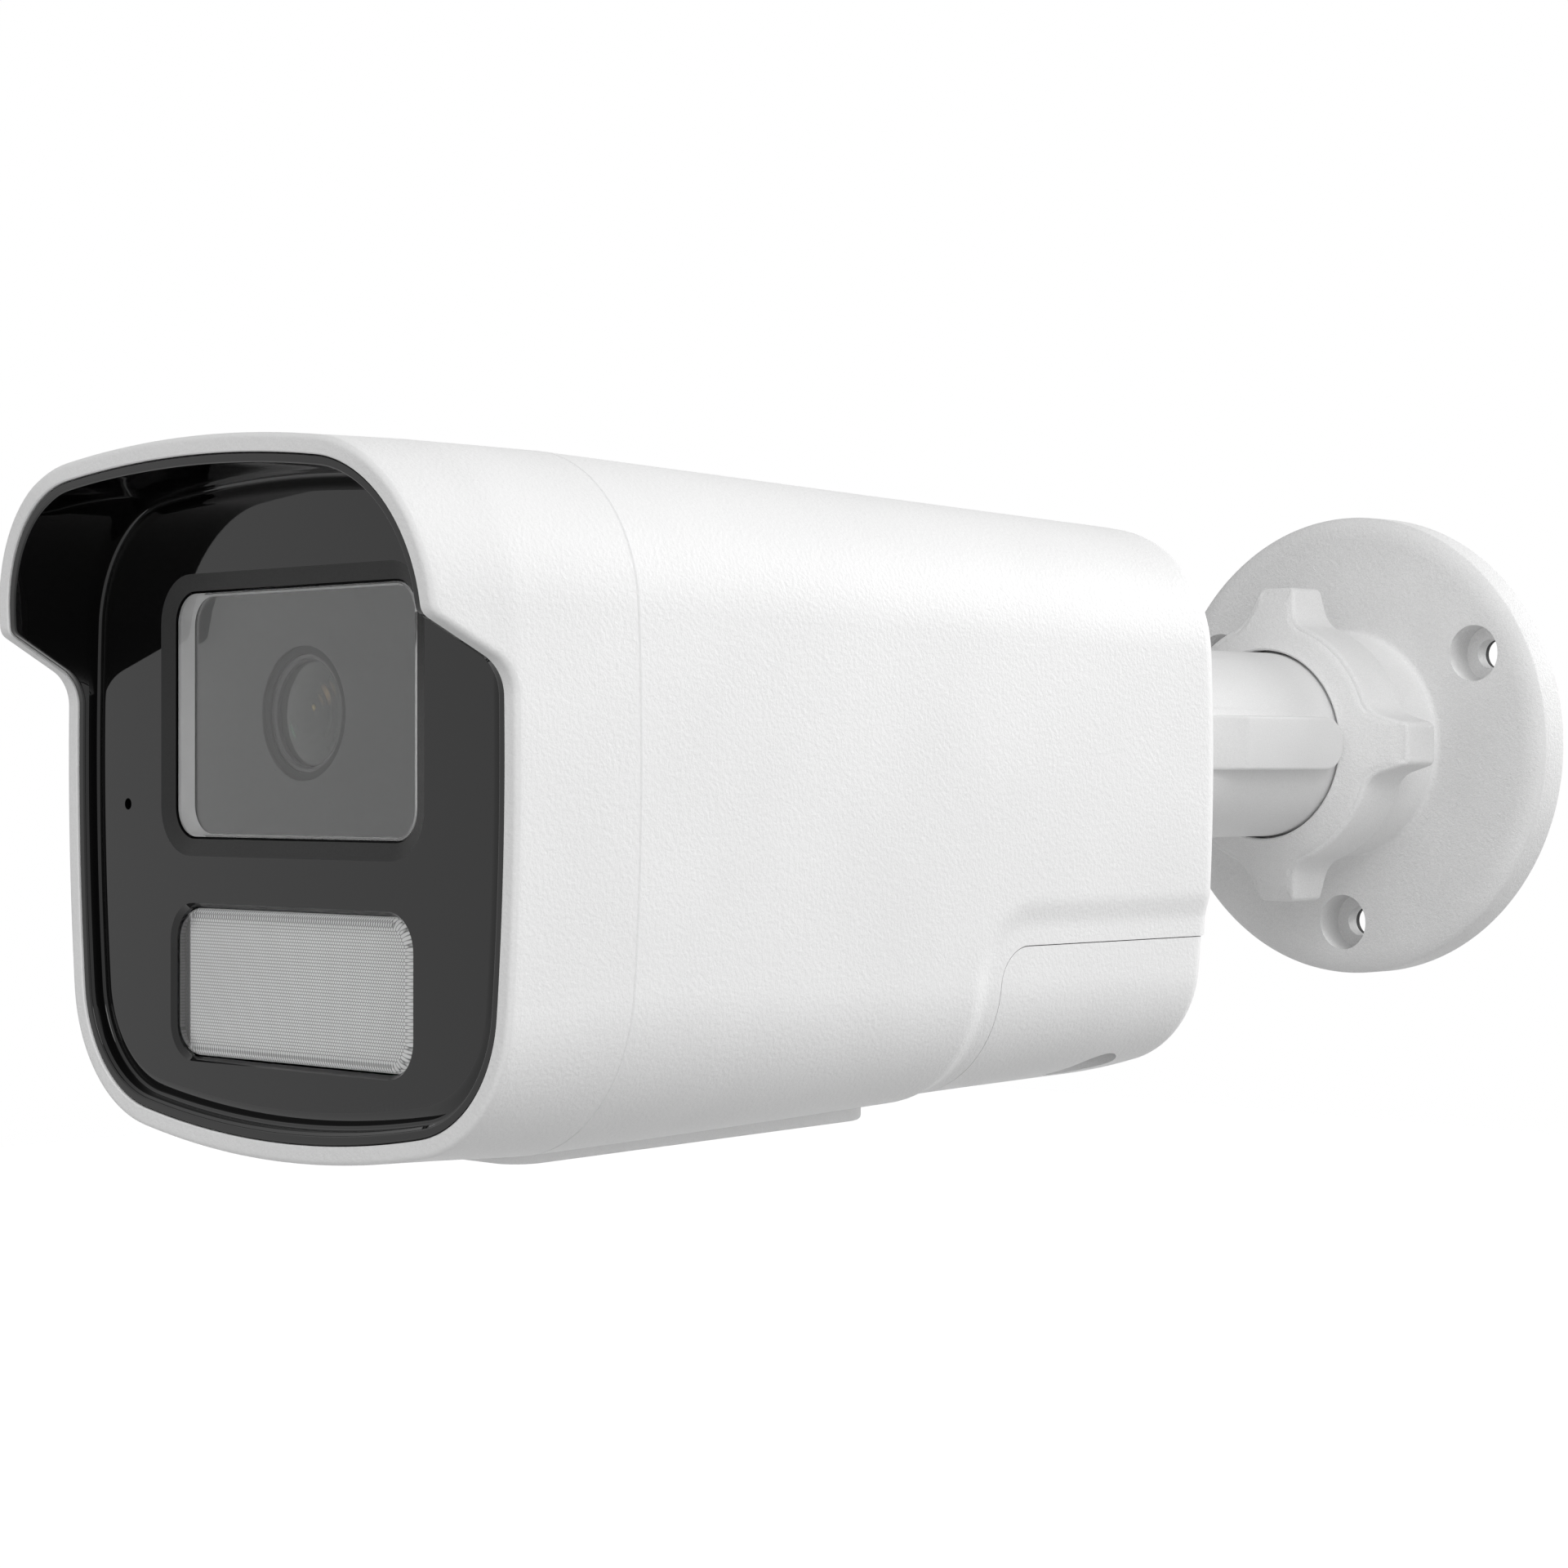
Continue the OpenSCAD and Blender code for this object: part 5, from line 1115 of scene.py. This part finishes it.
def honeycombed(name, colour, cell, wall):
    """A material whose cells and their walls differ in tone, with the cells' bumps."""
    made, tree, shader = material(name, colour, 0.3)
    comb = place_group(tree, honeycomb, Cell=CELL)
    tone = mix_colours(tree, comb.outputs["Wall"], cell, wall)
    feed(tree, shader, {"Base Color": tone})
    bump(tree, shader, comb.outputs["Height"], 0.5, 0.0001)
    return made, tree, shader, comb, tone


diffuser, tree, shader, comb, tone = honeycombed("Honeycomb diffuser", 0.7, 0.88, 0.06)
place = node(tree, "SeparateXYZ", {"Vector": object_point(tree)})
border = stretch(tree, math_node(tree, "ABSOLUTE", place.outputs["X"]),
                 LIGHT_W / 2 - BORDER, LIGHT_W / 2 - BORDER + 0.0002, 0.0, 0.9)
feed(tree, shader, {"Base Color": mix_colours(tree, border, tone, 0.02),
                    "Roughness": stretch(tree, comb.outputs["Wall"], 0, 1, 0.2, 0.4)})
dark_rim = honeycombed("Moulded rim", 0.06, 0.16, 0.02)[0]
finished(light_pane, window_glass, "camera", "light_diffuser", "light_window")
light_pane.data.materials.append(diffuser)
light_pane.data.materials.append(dark_rim)
for face in light_pane.data.polygons:
    if face.center.y > LIGHT_BACK - 1e-5:
        face.material_index = 1
    elif abs(face.normal.y) < 0.02:
        face.material_index = 2


# ---- Front cover ----
# Moulded cover with its sun visor, sprayed to match the barrel. It screws to the chassis through
# four bosses and clamps the front seal against the barrel.

RIM_T, RIM_EDGE = 0.002, 0.0006
RIM_CHAMFER = 0.00012
COVER_STEPS = 26
cover_rows = [shell_loop(SEAM_Y, WALL), shell_loop(RIM_Y + 0.008, WALL),
              shell_loop(RIM_Y + 0.0064, RIM_T), shell_loop(FACE_BACK_Y, RIM_T),
              edge_loop(RIM_T, RIM_CHAMFER), edge_loop(RIM_T - RIM_CHAMFER, 0),
              edge_loop(RIM_T - 0.0006, 0), edge_loop(RIM_EDGE + 0.0002, 0)]
cover_rows += [edge_loop(RIM_EDGE * (1 - s), RIM_EDGE * (1 - c)) for s, c in swept(0, 91, 15)]
edge_end = cover_rows[-1]


def cover_loop(t):
    """The cover's outside, a part t of the way from its rounded front edge to the seam."""
    def point_at(u):
        x0, y0, z0 = edge_end[u]
        y = y0 + (SEAM_Y - SEAM_EDGE - y0) * t
        x1, z1 = shell_point(u, y)
        start_x, start_z = shell_point(u, y0)
        keep = (1 - t) ** 2
        return x1 + (x0 - start_x) * keep, y, z1 + (z0 - start_z) * keep
    return loop_of(point_at)


cover_rows += [cover_loop(i / COVER_STEPS) for i in range(1, COVER_STEPS + 1)]
cover_rows += [shell_loop(SEAM_Y, SEAM_EDGE), cover_rows[0]]
cover = wrapped("visor_cover", cover_rows, 42)
BOSS_R = 0.0044
BOSS_ZS = (0.013, -0.027)
boss_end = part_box("front_chassis")[0].y
for side in (1, -1):
    for z in BOSS_ZS:
        u = min(range(HALF_LOOP + 1), key=lambda k: abs(shell_point(k, RIM_Y, WALL)[1] - z))
        x = side * (shell_point(u, RIM_Y, WALL)[0] - BOSS_R + 0.0005)
        boss = rod("boss", BOSS_R, (x, FACE_BACK_Y + 0.0001, z), (x, boss_end - 0.0001, z), 32)
        combine(boss, rod("thread", THREAD_HOLE_R, (x, boss_end - 0.006, z), (x, boss_end + 0.001, z), 24))
        combine(cover, boss, "UNION")
smooth(cover, 42)
finished(cover, satin_white, "camera", "shell_white", "front_cover")


# ---- Studio ----
# A pale floor under the camera, and a dome of light that is strongest in front on the +X side and
# weaker from above. One broad sun shines from behind, one from above on the +X side. The backdrop
# is plain white.

def seen_directly(tree):
    """1 where a ray comes from the camera, a mirror or glass, so that they meet the plain backdrop."""
    path = node(tree, "LightPath")
    mirrored = math_node(tree, "MAXIMUM", path.outputs["Is Glossy Ray"], path.outputs["Is Transmission Ray"])
    return math_node(tree, "MAXIMUM", path.outputs["Is Camera Ray"], mirrored)


FLOOR_Z = -0.42
floor = added("floor", bpy.ops.mesh.primitive_plane_add, size=6, location=(0, 0, FLOOR_Z))
paper, tree, shader = material("Pale paper floor", 0.93, 0.9)
white_side = node(tree, "BsdfDiffuse", {"Color": rgba(1)})
dark_side = node(tree, "BsdfDiffuse", {"Color": rgba(0.58)})
glow = node(tree, "Emission", {"Strength": 0.35})
bright = node(tree, "AddShader", {0: white_side.outputs["BSDF"], 1: glow.outputs["Emission"]})
switch = node(tree, "MixShader", {
    "Fac": seen_directly(tree), 1: dark_side.outputs["BSDF"], 2: bright.outputs["Shader"]})
feed(tree, tree.nodes["Material Output"], {"Surface": switch.outputs["Shader"]})
tree.nodes.remove(shader)
floor.data.materials.append(paper)

dome = bpy.data.worlds.new("Studio dome")
bpy.context.scene.world = dome
dome.use_nodes = True
tree = dome.node_tree
direction = node(tree, "SeparateXYZ", {"Vector": node(tree, "TexCoord").outputs["Generated"]})
level = 0.5
for axis, gain in (("Z", -0.31), ("X", 0.37), ("Y", -0.38)):
    level = math_node(tree, "MULTIPLY_ADD", direction.outputs[axis], gain, level)
level = math_node(tree, "MAXIMUM", level, 0.02)
seen = seen_directly(tree)
unseen = math_node(tree, "MULTIPLY", level, math_node(tree, "SUBTRACT", 1.0, seen))
feed(tree, tree.nodes["Background"], {"Color": rgba(1), "Strength": math_node(tree, "ADD", unseen, seen)})


def soft_sun(name, tilt, turn, strength, spread):
    """A sun lamp. Its tilt, turn and spread are in degrees."""
    rotation = (math.radians(tilt), 0, math.radians(turn))
    lamp = added(name, bpy.ops.object.light_add, type="SUN", rotation=rotation)
    lamp.data.energy = strength * math.pi
    lamp.data.angle = math.radians(spread)


soft_sun("back light", 72.2, 164.5, 0.66, 28)
soft_sun("side light", 49.4, 66.8, 0.32, 35)

camera = added("Camera", bpy.ops.object.camera_add, location=(0.2948, -0.4219, -0.0042),
               rotation=(math.pi / 2, 0, math.radians(44.7)))
camera.data.lens = 78.41
camera.data.sensor_width = 36
camera.data.shift_y = -0.0065
camera.data.clip_start = 0.01
bpy.context.scene.camera = camera
bpy.context.scene.view_settings.view_transform = "Standard"
